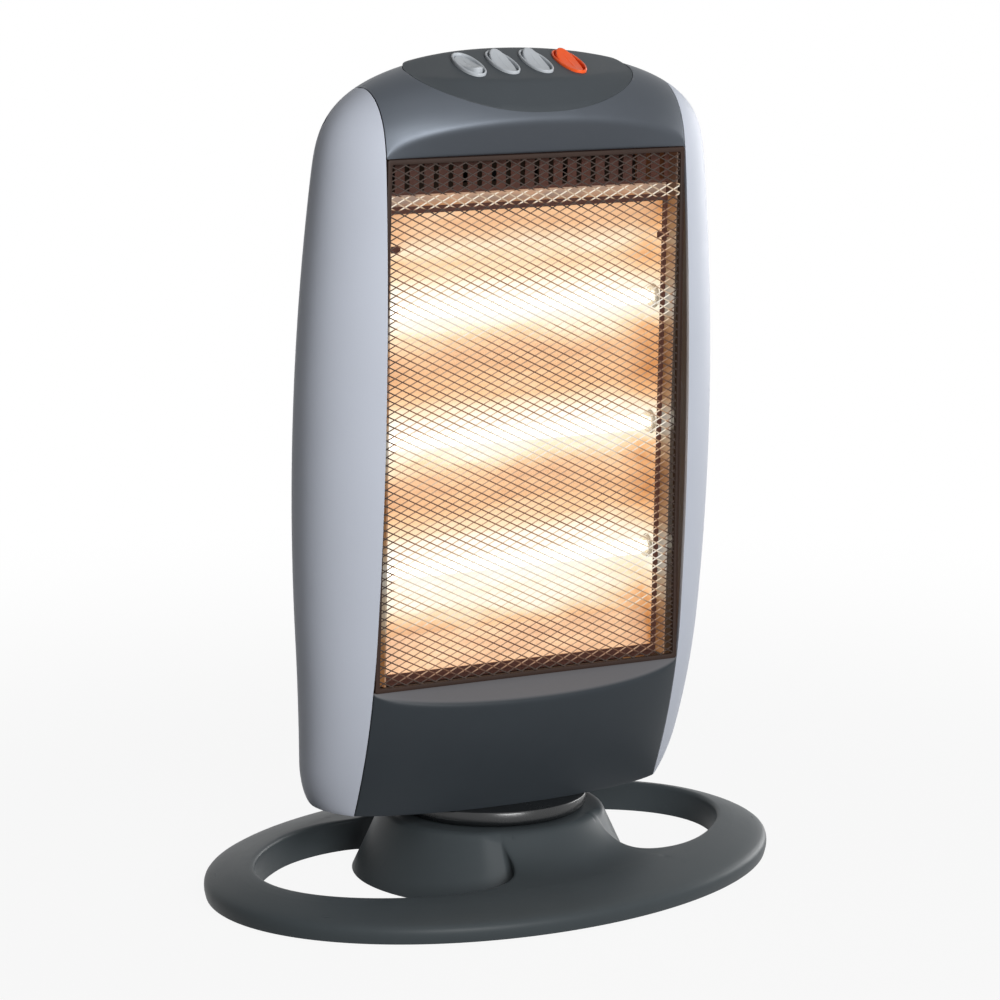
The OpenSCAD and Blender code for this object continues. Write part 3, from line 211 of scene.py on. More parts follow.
# %% [markdown]
# ## Finishing a mesh
# Holes are cut and edges are rounded by Blender's own modifiers, which handle odd meetings of surfaces
# better than hand-written code. Each is turned into mesh at once, so the finished piece is plain mesh.

# %% Cutting, rounding and handing over
ROUNDING_STEPS = 3


def settled(obj):
    """The object with its modifiers turned into mesh."""
    evaluated = obj.evaluated_get(bpy.context.evaluated_depsgraph_get())
    mesh = bpy.data.meshes.new_from_object(evaluated)
    obj.modifiers.clear()
    obj.data = mesh
    return obj


def rounded(obj, radius, sharper_than):
    """Rounds every edge sharper than that many degrees, radius in mm."""
    bevel = obj.modifiers.new("round", "BEVEL")
    bevel.width = radius * MM
    bevel.segments = ROUNDING_STEPS
    bevel.limit_method = "ANGLE"
    bevel.angle_limit = math.radians(sharper_than)
    bevel.use_clamp_overlap = True
    return settled(obj)


def cut(obj, cutter):
    """Takes the cutter's volume out of the object and removes the cutter."""
    boolean = obj.modifiers.new("cut", "BOOLEAN")
    boolean.operation = "DIFFERENCE"
    boolean.solver = "EXACT"
    boolean.use_self = True
    boolean.object = cutter
    settled(obj)
    bpy.data.objects.remove(cutter)
    return obj


def smooth(obj, sharper_than=32.0):
    """Shades the mesh smooth, except over edges sharper than that many degrees."""
    mesh = obj.data
    mesh.polygons.foreach_set("use_smooth", np.ones(len(mesh.polygons), bool))
    mesh.set_sharp_from_angle(angle=math.radians(sharper_than))
    return obj


def dress(obj, body, material, replaces=()):
    """Gives a finished piece its material and the body it moves with."""
    obj.data.materials.clear()
    obj.data.materials.append(material)
    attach(obj, body)
    if replaces:
        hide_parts(*replaces)
    print(obj.name, "faces", len(obj.data.polygons))
    return obj


# %% [markdown]
# ## Shader maths as arithmetic
# A finish is mostly numbers that vary over a surface. The class below wraps such a number, so that
# `grain * 0.3 + 0.5` adds the Math nodes by itself, and every other node comes from one function.

# %% Numbers that vary over a surface
class Field:
    """A number that varies over a surface. Arithmetic on it adds Math nodes."""

    def __init__(self, tree, socket):
        self.tree, self.socket = tree, socket

    def maths(self, operation, *values, swap=False):
        """One Math node on this field and further values, in turned order if swap is set."""
        terms = (values[0], self) if swap else (self, *values)
        return Field(self.tree, add_node(self.tree, "ShaderNodeMath", {"operation": operation},
                                         dict(enumerate(terms))).outputs[0])

    def __add__(self, other):
        return self.maths("ADD", other)

    def __sub__(self, other):
        return self.maths("SUBTRACT", other)

    def __rsub__(self, other):
        return self.maths("SUBTRACT", other, swap=True)

    def __mul__(self, other):
        return self.maths("MULTIPLY", other)

    def __truediv__(self, other):
        return self.maths("DIVIDE", other)

    __radd__, __rmul__ = __add__, __mul__

    def limited(self, low=0.0, high=1.0):
        """The field kept between low and high."""
        return self.maths("MAXIMUM", low).maths("MINIMUM", high)

    def bell(self, centre, width):
        """A bell curve of the field: 1 at the centre, falling off over the width."""
        distance = (self - centre) / width
        return (distance * distance * -1.0).maths("EXPONENT")

    def step(self, low, high):
        """0 below low and 1 above high, with a soft rise between."""
        node = add_node(self.tree, "ShaderNodeMapRange", {"interpolation_type": "SMOOTHSTEP"},
                        {"Value": self, "From Min": low, "From Max": high})
        return Field(self.tree, node.outputs[0])


print("a field knows", [name for name in vars(Field) if name.isalpha()])

# %% One way to add a node
def add_node(tree, kind, settings=None, sockets=None):
    """Adds a node, sets its settings first and then its sockets' values or links."""
    node = tree.nodes.new(kind)
    for key, value in (settings or {}).items():
        if key == "stops":
            ramp = node.color_ramp.elements
            while len(ramp) < len(value):
                ramp.new(0.5)
            for element, (position, color) in zip(ramp, value):
                element.position = position
                element.color = (*color, 1.0)
        else:
            setattr(node, key, value)
    for key, value in (sockets or {}).items():
        value = value.socket if isinstance(value, Field) else value
        if isinstance(value, bpy.types.NodeSocket):
            tree.links.new(value, node.inputs[key])
        else:
            node.inputs[key].default_value = value
    return node


print("nodes ready")

# %% [markdown]
# ## Finishes
# Every finish starts from the place on the surface, read as Object coordinates, because all pieces sit
# at the origin: a pattern then runs on from one piece to the next. Colours go through Mix nodes and
# ramps, since a Math node would turn them grey.

# %% A material in the making
class Finish:
    """A material in the making, with the fields and colours that its surface needs."""

    def __init__(self, name):
        self.material = bpy.data.materials.new(name)
        self.material.use_nodes = True
        self.tree = self.material.node_tree
        self.tree.nodes.clear()
        self.place = self.node("ShaderNodeTexCoord").outputs["Object"]

    def node(self, kind, settings=None, sockets=None):
        """A node in this material."""
        return add_node(self.tree, kind, settings, sockets)

    def stretched(self, factors):
        """The place on the surface with its axes multiplied, which stretches a pattern."""
        return self.node("ShaderNodeVectorMath", {"operation": "MULTIPLY"},
                         {0: self.place, 1: factors}).outputs[0]

    def along(self, direction, origin=(0.0, 0.0, 0.0)):
        """Distance in mm along a direction from an origin given in metres."""
        offset = self.node("ShaderNodeVectorMath", {"operation": "SUBTRACT"},
                           {0: self.place, 1: origin}).outputs[0]
        dot = self.node("ShaderNodeVectorMath", {"operation": "DOT_PRODUCT"},
                        {0: offset, 1: [float(v) for v in direction]})
        return Field(self.tree, dot.outputs["Value"]) / MM

    def noise(self, size, detail=2.0, roughness=0.5, place=None):
        """Soft noise with features of about that many mm, from 0 to 1."""
        node = self.node("ShaderNodeTexNoise", {}, {
            "Vector": self.place if place is None else place, "Scale": 1.0 / (size * MM),
            "Detail": detail, "Roughness": roughness})
        return Field(self.tree, node.outputs[0])

    def cells(self, size):
        """Distance to the nearest cell centre of a random pattern of that size in mm."""
        node = self.node("ShaderNodeTexVoronoi", {}, {"Vector": self.place, "Scale": 1.0 / (size * MM)})
        return Field(self.tree, node.outputs["Distance"])

    def blend(self, share, first, second):
        """A colour that goes from first to second as share goes from 0 to 1."""
        colors = [c if isinstance(c, bpy.types.NodeSocket) else (*c, 1.0) for c in (first, second)]
        return self.node("ShaderNodeMix", {"data_type": "RGBA"},
                         {0: share, 6: colors[0], 7: colors[1]}).outputs[2]

    def ramp(self, field, stops):
        """A colour looked up from a field through a ramp of (position, colour) stops."""
        return self.node("ShaderNodeValToRGB", {"stops": stops}, {0: field}).outputs[0]

    def bump(self, height, depth):
        """A normal bent by a height field, where depth is the relief in mm."""
        return self.node("ShaderNodeBump", {}, {"Height": height, "Distance": depth * MM}).outputs[0]

    def done(self, **sockets):
        """Closes the material. Socket names are written with underscores."""
        shader = self.node("ShaderNodeBsdfPrincipled", {}, {
            key.replace("_", " "): value for key, value in sockets.items()})
        self.node("ShaderNodeOutputMaterial", {}, {"Surface": shader.outputs[0]})
        return self.material


print("a finish knows", [name for name in vars(Finish) if name.isalpha()])

# %% [markdown]
# ## The head's shape
# Side panels, brow, front panel and rear cover are cut from one body: a rounded plan that shrinks into
# a dome at the top, bows along its height and leans forward a little. Every shell below samples these
# formulas, so their seams meet by themselves. `inset` is the depth under the skin, for inner walls.

# %% Sizes of the head
HEAD_TOP = 520.0
HEAD_FOOT = 53.0
DOME_H = 75.0
DOME_Z = HEAD_TOP - DOME_H
GRILLE_FOOT = 136.0
GRILLE_H = 325.0
GRILLE_TOP = GRILLE_FOOT + GRILLE_H
HALF_W, HALF_D = 141.3, 63.5
WIDEST_Z, DEEPEST_Z = 274.0, 255.0
SIDE_BOW, DEPTH_BOW = 1715.0, 1630.0
PLAN_POWER = 2.2
DOME_POWER = 3.6
LEAN = math.tan(math.radians(2.7))
FRONT_SHIFT = -9.8
TAIL_Z, TAIL_R = 165.0, 400.0
CROWN_SHIFT = 11.0
CORNER_H = 30.0
CORNER_IN, HEEL_IN = 0.57, 0.4
SEAM_HALF_W, SEAM_TAPER, SEAM_GAP = 104.7, 0.014, 0.6
WALL = 2.6
print("head", 2 * HALF_W, "mm wide and", HEAD_TOP - HEAD_FOOT, "mm high")


# %% Outline over the height
def dome(z, inset=0.0):
    """Shrink factor of the plan inside the dome: the root of 1 - t^3.6 over the dome's height."""
    t = np.clip((z - DOME_Z) / (DOME_H - inset), 0, 1)
    return np.sqrt(1 - t ** DOME_POWER)


def straight_half_w(z):
    """Half width below the dome: a long arc seen from the front."""
    return HALF_W - (z - WIDEST_Z) ** 2 / (2 * SIDE_BOW)


def half_w(z, inset=0.0):
    """Half width: the long arc shrunk by the dome."""
    return (straight_half_w(z) - inset) * dome(z, inset)


def half_d(z, inset=0.0):
    """Half depth: a long arc seen from the side, shrunk by the dome."""
    return (HALF_D - (z - DEEPEST_Z) ** 2 / (2 * DEPTH_BOW) - inset) * dome(z, inset)


def middle_y(z):
    """Centre line: a forward lean, with the tail and the crown curving back."""
    crown = CROWN_SHIFT * np.clip((z - DOME_Z) / DOME_H, 0, 1) ** 4
    return FRONT_SHIFT - LEAN * (z - GRILLE_FOOT) + np.maximum(0, TAIL_Z - z) ** 2 / (2 * TAIL_R) + crown


def seam_x(z):
    """Half the width between the seams, narrowing upwards."""
    return SEAM_HALF_W + SEAM_TAPER * (GRILLE_FOOT + GRILLE_H / 2 - np.maximum(z, GRILLE_FOOT))


print("half width at the dome's foot", round(float(half_w(DOME_Z)), 1))


# %% The skin in front, behind and on top
def corner(z, share):
    """Quarter-ellipse easing of the lower corners, from 1 down to that share."""
    t = np.clip((HEAD_FOOT + CORNER_H - z) / CORNER_H, 0, 1)
    return 1 - (1 - share) * (1 - np.sqrt(1 - t * t))


def reach(x, z, inset=0.0):
    """Depth of the skin from the centre line: |x/w|^2.2 + |y/d|^2.2 = 1."""
    side = np.abs(x) / np.maximum(half_w(z, inset), 1e-6)
    return half_d(z, inset) * np.maximum(0, 1 - side ** PLAN_POWER) ** (1 / PLAN_POWER)


def front_y(x, z, inset=0.0):
    """Front skin: the centre line less the reach."""
    return middle_y(z) - reach(x, z, inset)


def rear_y(x, z, inset=0.0):
    """Rear skin: the centre line plus the reach, which is eased in at the heel."""
    return middle_y(z) + reach(x, z, inset) * corner(z, HEEL_IN)


def crest_z(x, inset=0.0):
    """Height of the dome's crest over x, found in two steps because the width depends on it."""
    z = HEAD_TOP - DOME_H / 4
    for _ in range(2):
        side = np.clip(np.abs(x) / (straight_half_w(z) - inset), 0, 1)
        z = DOME_Z + (DOME_H - inset) * (1 - side ** 2) ** (1 / DOME_POWER)
    return z


def face_x(t, z):
    """Place across the front between the seams, t from -1 to 1."""
    return t * (seam_x(z) - SEAM_GAP / 2)


print("skin from", round(float(front_y(0.0, DOME_Z)), 1), "to", round(float(rear_y(0.0, DOME_Z)), 1))

# %% [markdown]
# ## The grille's plane
# The grille is flat and leans with the head. It is laid through the front seams at its foot and at its
# top, and all that lies in or behind it is placed by three numbers: across, up the plane and out of it.

# %% From the grille's plane to the head
PLANE_Y0 = float(front_y(seam_x(GRILLE_FOOT), GRILLE_FOOT))
PLANE_Y1 = float(front_y(seam_x(GRILLE_TOP), GRILLE_TOP))
PLANE_LEAN = math.atan2(PLANE_Y0 - PLANE_Y1, GRILLE_H)


def on_grille(points):
    """Points in the grille's plane, as (across, up, out) in mm, brought into the head's frame."""
    p = np.asarray(points, float)
    x, up, out = p[..., 0], p[..., 1], p[..., 2]
    y = PLANE_Y0 - up * math.sin(PLANE_LEAN) - out * math.cos(PLANE_LEAN)
    z = GRILLE_FOOT + up * math.cos(PLANE_LEAN) - out * math.sin(PLANE_LEAN)
    return np.stack([x, y, z], -1)


print("grille plane from y", round(PLANE_Y0, 1), "to", round(PLANE_Y1, 1))

# %% [markdown]
# ## Finishes of the mouldings
# All the outer shells are moulded in slightly textured plastic. The texture is a fine grain in the
# bump, and the gloss is uneven at hand size, which is what keeps a real moulding from looking flat.

# %% Moulded and painted plastics
def moulded(name, color, gloss=0.46, grain=0.9, relief=0.02, variation=0.1, shine=0.14, metallic=0.0,
            **more):
    """Textured moulded plastic: fine grain in the normal, soft unevenness in tone and gloss.

    Further sockets are passed on, and one that varies is given as a function of the finish."""
    f = Finish(name)
    fine = f.noise(grain, detail=3.0)
    broad = f.noise(60.0, detail=2.0)
    flow = f.noise(14.0, detail=4.0, roughness=0.6)
    tone = broad * 0.6 + flow * 0.4
    dark = [c * (1 - variation) for c in color]
    light = [min(1.0, c * (1 + variation)) for c in color]
    return f.done(Base_Color=f.blend(tone, dark, light), Roughness=flow * 0.08 + fine * 0.06 + gloss - 0.07,
                  Metallic=metallic, Specular_IOR_Level=shine, Normal=f.bump(fine, relief),
                  **{socket: value(f) if callable(value) else value for socket, value in more.items()})


def satin_paint(name, color):
    """Silver-grey satin paint: flakes a tenth of a millimetre across and a thin soft clear coat."""
    f = Finish(name)
    flakes = f.cells(0.35)
    broad = f.noise(90.0)
    peel = f.noise(2.2, detail=1.0)
    tone = flakes * 0.25 + broad * 0.5 + 0.12
    dark = [c * 0.9 for c in color]
    light = [min(1.0, c * 1.1) for c in color]
    return f.done(Base_Color=f.blend(tone, dark, light), Metallic=flakes * 0.08,
                  Roughness=flakes * 0.12 + 0.42, Specular_IOR_Level=0.15,
                  Normal=f.bump(peel * 0.6 + flakes * 0.4, 0.008))


print("moulded and painted finishes ready")

# %% Finishes of the outer shells
BASE_PLASTIC = moulded("slate_plastic", (0.046, 0.055, 0.060), gloss=0.44)
DARK_PLASTIC = moulded("dark_slate_plastic", (0.030, 0.036, 0.042), gloss=0.45)
BROW_PLASTIC = moulded("brow_grey_plastic", (0.082, 0.092, 0.107), gloss=0.46, metallic=0.85)
PANEL_PLASTIC = moulded("control_panel_plastic", (0.052, 0.060, 0.067), gloss=0.52, relief=0.03)
GLOSS_BLACK = moulded("polished_black_plastic", (0.010, 0.011, 0.012), gloss=0.26, relief=0.002, shine=0.6)
SILVER_PAINT = satin_paint("satin_silver_paint", (0.48, 0.51, 0.58))
KEY_GREY = moulded("light_grey_key_plastic", (0.50, 0.53, 0.56), gloss=0.3, relief=0.004, variation=0.05)
KEY_ORANGE = moulded("orange_key_plastic", (0.90, 0.115, 0.025), gloss=0.3, relief=0.004, variation=0.06)
print("finishes", len(bpy.data.materials))

# %% [markdown]
# ## Side panels
# Each side is one bowed shell from seam to seam, rounded under at the foot and closing with the dome.
# Its points follow the head's plan from the front seam over the widest place to the rear seam.

# %% Points of a side panel
SIDE_ROWS_LOW, SIDE_ROWS_MID, SIDE_ROWS_TOP = 16, 44, 30
SIDE_COLUMNS = 44
TOP_TRIM = 0.4


def rows_up(top):
    """Heights from the foot to the top, close together at the lower corners and under the crest."""
    low = HEAD_FOOT + CORNER_H * (1 - np.cos(np.pi / 2 * np.arange(SIDE_ROWS_LOW) / SIDE_ROWS_LOW))
    start = HEAD_FOOT + CORNER_H
    mid = start + (DOME_Z - start) * np.arange(SIDE_ROWS_MID) / SIDE_ROWS_MID
    s = np.sin(np.pi / 2 * np.arange(SIDE_ROWS_TOP + 1) / SIDE_ROWS_TOP)
    shape = (-1,) + (1,) * np.ndim(top)
    fixed = np.broadcast_to(np.concatenate([low, mid]).reshape(shape),
                            (SIDE_ROWS_LOW + SIDE_ROWS_MID,) + np.shape(top))
    return np.concatenate([fixed, DOME_Z + (top - DOME_Z) * s.reshape(shape)])


def side_surface(inset):
    """Left panel: the plan's curve outside the seam, rows up, columns from front to rear."""
    top = crest_z(seam_x(crest_z(SEAM_HALF_W)), inset) - TOP_TRIM
    z = rows_up(top)[:, None]
    s = np.sin(np.linspace(-np.pi / 2, np.pi / 2, SIDE_COLUMNS + 1))[None, :]
    seam = seam_x(z) + SEAM_GAP / 2
    span = reach(seam, z, inset)
    dy = span * s
    bulge = np.maximum(0, 1 - (np.abs(dy) / half_d(z, inset)) ** PLAN_POWER) ** (1 / PLAN_POWER)
    x = -seam - np.maximum(0, half_w(z, inset) * bulge - seam) * corner(z, CORNER_IN)
    y = middle_y(z) + dy * np.where(dy > 0, corner(z, HEEL_IN), 1.0)
    return np.stack(np.broadcast_arrays(x, y, z), -1)


print("side panel", side_surface(0.0).shape[:2], "points")


# %% [markdown]
# ## Screw recesses
# A screw holds each side panel from a deep, narrow cup in its shoulder. The cup's mouth has to follow
# the curved skin, so the skin's formula is solved for x and each point of the mouth is put under it.

# %% Screw recesses
SCREW_Z = HEAD_TOP - 39
SCREW_Y = float(middle_y(SCREW_Z)) + 9.5
RECESS_R, RECESS_WALL, RECESS_LIP = 3.4, 1.6, 1.3
SCREW_SEAT_X = float(seam_x(SCREW_Z)) + 2.3
SEAT_T, SCREW_HOLE_R = 2.0, 2.2


def cylinder_along(axis, centre, radius, start, end, steps=48):
    """Ring pair of a cylinder along head axis 0 (X), 1 (Y) or 2 (Z), ready for a loft."""
    angle = np.linspace(0, 2 * np.pi, steps, endpoint=False)
    first, second = [a for a in range(3) if a != axis]
    rings = np.zeros((2, steps, 3))
    rings[..., first] = centre[0] + radius * np.cos(angle)
    rings[..., second] = centre[1] + radius * np.sin(angle)
    rings[0, :, axis], rings[1, :, axis] = start, end
    return rings


def skin_x(y, z):
    """Half width of the skin at a depth and height: the plan's power curve solved for x."""
    share = np.abs(y - middle_y(z)) / half_d(z)
    return half_w(z) * (1 - share ** PLAN_POWER) ** (1 / PLAN_POWER)


def cup_rings():
    """Rings of the screw's cup: its outer wall, a mouth that follows the skin, its bore and its seat."""
    rings = []
    under, outside = SCREW_SEAT_X - SEAT_T, RECESS_R + RECESS_WALL
    for x, radius in [(under, SCREW_HOLE_R), (under, outside), (None, outside), (None, RECESS_R),
                      (SCREW_SEAT_X, RECESS_R), (SCREW_SEAT_X, SCREW_HOLE_R), (under, SCREW_HOLE_R)]:
        ring = cylinder_along(0, (SCREW_Y, SCREW_Z), radius, 0, 0)[0]
        ring[:, 0] = -x if x else RECESS_LIP - skin_x(ring[:, 1], ring[:, 2])
        rings.append(ring)
    return np.array(rings)


recess_x = float(skin_x(SCREW_Y, SCREW_Z))
print("screw recess", round(recess_x - SCREW_SEAT_X, 1), "mm deep")

# %% Both side panels
PANEL_MIRROR = {"left": np.array([1.0, 1.0, 1.0]), "right": np.array([-1.0, 1.0, 1.0])}
CUT_PAST = 5.0
for side, mirror in PANEL_MIRROR.items():
    outer, inner = (on_head(side_surface(w) * mirror) for w in (0.0, WALL))
    panel = shell("side_panel_" + side + "_skin", outer, inner)
    hole = cylinder_along(0, (SCREW_Y, SCREW_Z), RECESS_R, -HALF_W - CUT_PAST, WALL + 4 - recess_x)
    cut(panel, loft("screw_recess", on_head(hole * mirror)))
    rounded(panel, 0.5, sharper_than=50)
    panel = joined(panel.name, [panel, loft("recess_cup", on_head(cup_rings() * mirror), False, False)])
    dress(smooth(panel), "head", SILVER_PAINT, ["side_panel_" + side])

# %% [markdown]
# ## Brow and front panel
# The brow runs from the curved edge over the grille up to the crest and a little down behind. Under
# that edge a crescent slopes back to the straight top of the grille. The edge between them is softened
# by a fillet: a curve from one face to the other whose middle point is the sharp edge.

# %% Front faces with a curved edge
FACE_COLUMNS = 72
FACE_CROWDING = 0.6
LEAST_ARCH = 0.6
EDGE_FILLET = 3.2
CRESCENT_ROWS, FILLET_ROWS = 6, 7


def face_spread():
    """Columns across a face: a mix of even steps and a sine, which crowds them at the steep ends."""
    s = np.linspace(-1, 1, FACE_COLUMNS + 1)
    return FACE_CROWDING * np.sin(np.pi / 2 * s) + (1 - FACE_CROWDING) * s


def arch(t):
    """Half an ellipse over the width: 1 in the middle and 0 at the seams."""
    return np.sqrt(np.maximum(0, 1 - t * t))


def crescent_and_fillet(t, edge_z, straight_z, straight_y, inset):
    """Rows from the grille's straight edge over the crescent and round the fillet on to the face.

    edge_z is the height of the curved edge at each column. Returns the rows and the height where
    the face starts after the fillet."""
    upward_sign = np.sign(edge_z - straight_z)[0]
    edge_x = face_x(t, edge_z)
    edge = np.stack([edge_x, front_y(edge_x, edge_z, inset), edge_z], -1)
    line_x = face_x(t, straight_z)
    line = np.stack([line_x, np.full_like(t, straight_y + inset), np.full_like(t, straight_z)], -1)
    length = np.linalg.norm(edge - line, axis=-1)
    fillet = np.minimum(EDGE_FILLET, 0.45 * length)
    low = edge + (line - edge) * (fillet / length)[:, None]
    face_z = edge_z + upward_sign * fillet
    start_x = face_x(t, face_z)
    high = np.stack([start_x, front_y(start_x, face_z, inset), face_z], -1)
    flat = line + (low - line) * np.linspace(0, 1, CRESCENT_ROWS)[:, None, None]
    v = np.linspace(0, 1, FILLET_ROWS)[1:, None, None]
    bend = (1 - v) ** 2 * low + 2 * v * (1 - v) * edge + v ** 2 * high
    return np.concatenate([flat, bend]), face_z


print("columns across a face", len(face_spread()))

# %% [markdown]
# ## Brow
# Above its fillet the brow follows the head's skin. Its rows close up towards the crest, where the
# skin turns over, and run down a little way behind it to meet the rear cover.

# %% Surface of the brow
BROW_ARCH = 20.0
BROW_FRONT_ROWS, BROW_REAR_ROWS = 34, 14
REAR_DROP = 12.0


def brow_surface(inset):
    """Crescent, fillet, front up to the crest and the short fall behind it."""
    t = face_spread()
    edge_z = GRILLE_TOP + np.maximum(LEAST_ARCH, BROW_ARCH * arch(t))
    lower, face_z = crescent_and_fillet(t, edge_z, GRILLE_TOP, PLANE_Y1, inset)
    crest = crest_z(face_x(t, HEAD_TOP), inset)
    rise = np.sin(np.pi / 2 * np.linspace(0, 1, BROW_FRONT_ROWS))[1:, None]
    z = face_z + (crest - face_z) * rise
    x = face_x(t, z)
    front = np.stack([x, front_y(x, z, inset), z], -1)
    fall = 1 - np.cos(np.pi / 2 * np.linspace(0, 1, BROW_REAR_ROWS))[1:, None]
    z = crest - REAR_DROP * fall
    x = face_x(t, z)
    rear = np.stack([x, rear_y(x, z, inset), z], -1)
    return np.concatenate([lower, front, rear])


print("brow", brow_surface(0.0).shape[:2], "points")

# %% [markdown]
# ## Place for the control panel
# Seen from above, the key panel is an oval a little fuller than an ellipse. The brow is opened there by
# a prism with that outline, a hair larger, so that a fine shadow line shows round the panel.

# %% Outline of the insert
HALVINGS = 30
PANEL_HALF_LEN, PANEL_HALF_DEP = 75.5, 36.3
PANEL_POWER = 2.25
PANEL_MIDDLE_Y = float(middle_y(HEAD_TOP)) - 16.1
PANEL_GAP = 0.35
PANEL_DEPTH = 6.0


def insert_y(x, side, grow=0.0):
    """Edge of the insert from above, in front (-1) or behind (1): |x/a|^2.25 + |y/b|^2.25 = 1."""
    share = np.clip(np.abs(x) / (PANEL_HALF_LEN + grow), 0, 1)
    return PANEL_MIDDLE_Y + side * (PANEL_HALF_DEP + grow) * (1 - share ** PANEL_POWER) ** (1 / PANEL_POWER)


def skin_z(x, y):
    """Height of the head's skin over a point, by halving the dome's height again and again."""
    low, high = np.broadcast_arrays(np.full_like(x, DOME_Z), np.full_like(y, HEAD_TOP))
    low, high = low.copy(), high.copy()
    for _ in range(HALVINGS):
        z = (low + high) / 2
        inside = np.abs(y - middle_y(z)) < reach(x, z)
        low, high = np.where(inside, z, low), np.where(inside, high, z)
    return low


def insert_prism(grow, z0, z1, steps=90):
    """The insert's outline as a prism from z0 to z1."""
    x = (PANEL_HALF_LEN + grow) * np.sin(np.linspace(-np.pi / 2, np.pi / 2, steps))
    outline = np.concatenate([np.stack([x, insert_y(x, -1, grow)], -1),
                              np.stack([x[::-1], insert_y(x[::-1], 1, grow)], -1)[1:-1]])
    ring = np.concatenate([outline, np.zeros((len(outline), 1))], 1)
    return loft("prism", on_head(np.stack([ring + [0, 0, z0], ring + [0, 0, z1]])))


print("insert", 2 * PANEL_HALF_LEN, "by", 2 * PANEL_HALF_DEP, "mm")

# %% The brow with its opening
brow = shell("brow_skin", on_head(brow_surface(0.0)), on_head(brow_surface(WALL)))
hole_z = float(skin_z(np.zeros(1), insert_y(np.zeros(1), -1))[0]) - PANEL_DEPTH - PANEL_GAP
cut(brow, insert_prism(PANEL_GAP, hole_z, HEAD_TOP + CUT_PAST))
rounded(brow, 0.35, sharper_than=55)
dress(smooth(brow, 40), "head", BROW_PLASTIC, ["brow_panel"])

# %% [markdown]
# ## Panel under the grille
# The lower panel mirrors the brow: a face from the foot up, a softened curved edge and a sill that
# slopes back to the grille. The heater's light on that sill is painted into its finish as a faint warm emission.

# %% Surface under the grille
LOW_ROWS = 30
SILL_ARCH = 10.0


def lower_surface(inset):
    """From the foot up to the curved sill, round its fillet and back to the grille's foot."""
    t = face_spread()
    edge_z = GRILLE_FOOT - np.maximum(LEAST_ARCH, SILL_ARCH * arch(t))
    upper, face_z = crescent_and_fillet(t, edge_z, GRILLE_FOOT, PLANE_Y0, inset)
    z = HEAD_FOOT + (face_z - HEAD_FOOT) * np.linspace(0, 1, LOW_ROWS)[:-1, None]
    x = face_x(t, z)
    return np.concatenate([np.stack([x, front_y(x, z, inset), z], -1), upper[::-1]])


front_panel = shell("lower_panel_skin", on_head(lower_surface(0.0)), on_head(lower_surface(WALL)))
rounded(front_panel, 0.5, sharper_than=55)
print(front_panel.name, len(front_panel.data.polygons), "faces")

# %% Painted light on the sill
SILL_LIGHT, SILL_WARMTH = 0.10, (1.0, 0.92, 0.93)


def on_sill(f):
    """Painted light: the heater's glow on its sill as an emission colour, all of it on the crescent, none below
    the edge.
    """
    side = f.along(HEAD_X) / float(seam_x(GRILLE_FOOT))
    edge = (1.0 - side * side).limited().maths("POWER", 0.5) * -SILL_ARCH + GRILLE_FOOT
    return f.blend((f.along(UP) - edge).step(-0.6, 1.6), (0.0, 0.0, 0.0), SILL_WARMTH)


# painted light: the sill's emission stands in for the heater's glow falling on it
SILL_PLASTIC = moulded("heat_lit_slate_plastic", (0.030, 0.036, 0.042), gloss=0.45,
                       Emission_Color=on_sill, Emission_Strength=SILL_LIGHT)
dress(smooth(front_panel, 40), "head", SILL_PLASTIC, ["lower_panel"])

# %% [markdown]
# ## Rear cover
# The back closes the head between the side panels. It breathes through two columns of long vents, and
# a finger recess, the cord's gland and six screw seats are let into it. All of these are cut at once
# by one mesh of prisms, which is faster and cleaner than cutting one after the other.

# %% Sizes of what is let into the back
VENT_ROWS, VENT_PITCH, VENT_LEN, VENT_T = 9, 14.0, 60.0, 4.5
VENT_FOOT = GRILLE_FOOT + 34
VENT_MIDDLE_GAP = 12.0
GRIP_W, GRIP_H, GRIP_DEPTH = 96.0, 28.0, 20.0
GRIP_Z = DOME_Z - 5
GRIP_GAP = 0.3
GLAND_Z, GLAND_R = HEAD_FOOT + 31, 8.0
REAR_SCREW_X = 95.0
TOP_SCREW_Z = min(DOME_Z, GRILLE_TOP - 16)
REAR_SCREW_Z = [HEAD_FOOT + 57, (HEAD_FOOT + 57 + TOP_SCREW_Z) / 2, TOP_SCREW_Z]
SEAT_DEPTH, SEAT_R = 0.9, 4.0
grip_front, grip_back = (float(rear_y(0.0, GRIP_Z + d)) for d in (-GRIP_H / 2, GRIP_H / 2))
GRIP_SLOPE = math.atan2(grip_front - grip_back, GRIP_H)
GRIP_Y = float(rear_y(0.0, GRIP_Z))
GRIP_BOW = (GRIP_W / 2) ** 2 / 2 / (GRIP_Y - float(rear_y(GRIP_W / 2, GRIP_Z)))
print("back slopes", round(math.degrees(GRIP_SLOPE), 1), "degrees at the recess")


# %% Surface of the back and its prisms
def on_grip(points):
    """Points as (across, out of the back, up the slope) in mm, brought into the head's frame."""
    p = np.asarray(points, float)
    x, out, up = p[..., 0], p[..., 1], p[..., 2]
    y = GRIP_Y + out * math.cos(GRIP_SLOPE) - up * math.sin(GRIP_SLOPE)
    z = GRIP_Z + out * math.sin(GRIP_SLOPE) + up * math.cos(GRIP_SLOPE)
    return np.stack([x, y, z], -1)


def round_rectangle(width, height, radius, steps=8):
    """Outline of a rectangle with a quarter circle at each corner."""
    angle = np.concatenate([np.linspace(q, q + 1, steps) * np.pi / 2 for q in range(4)])
    corner_x = np.repeat([1, -1, -1, 1], steps) * (width / 2 - radius)
    corner_y = np.repeat([1, 1, -1, -1], steps) * (height / 2 - radius)
    return np.stack([corner_x + radius * np.cos(angle), corner_y + radius * np.sin(angle)], -1)


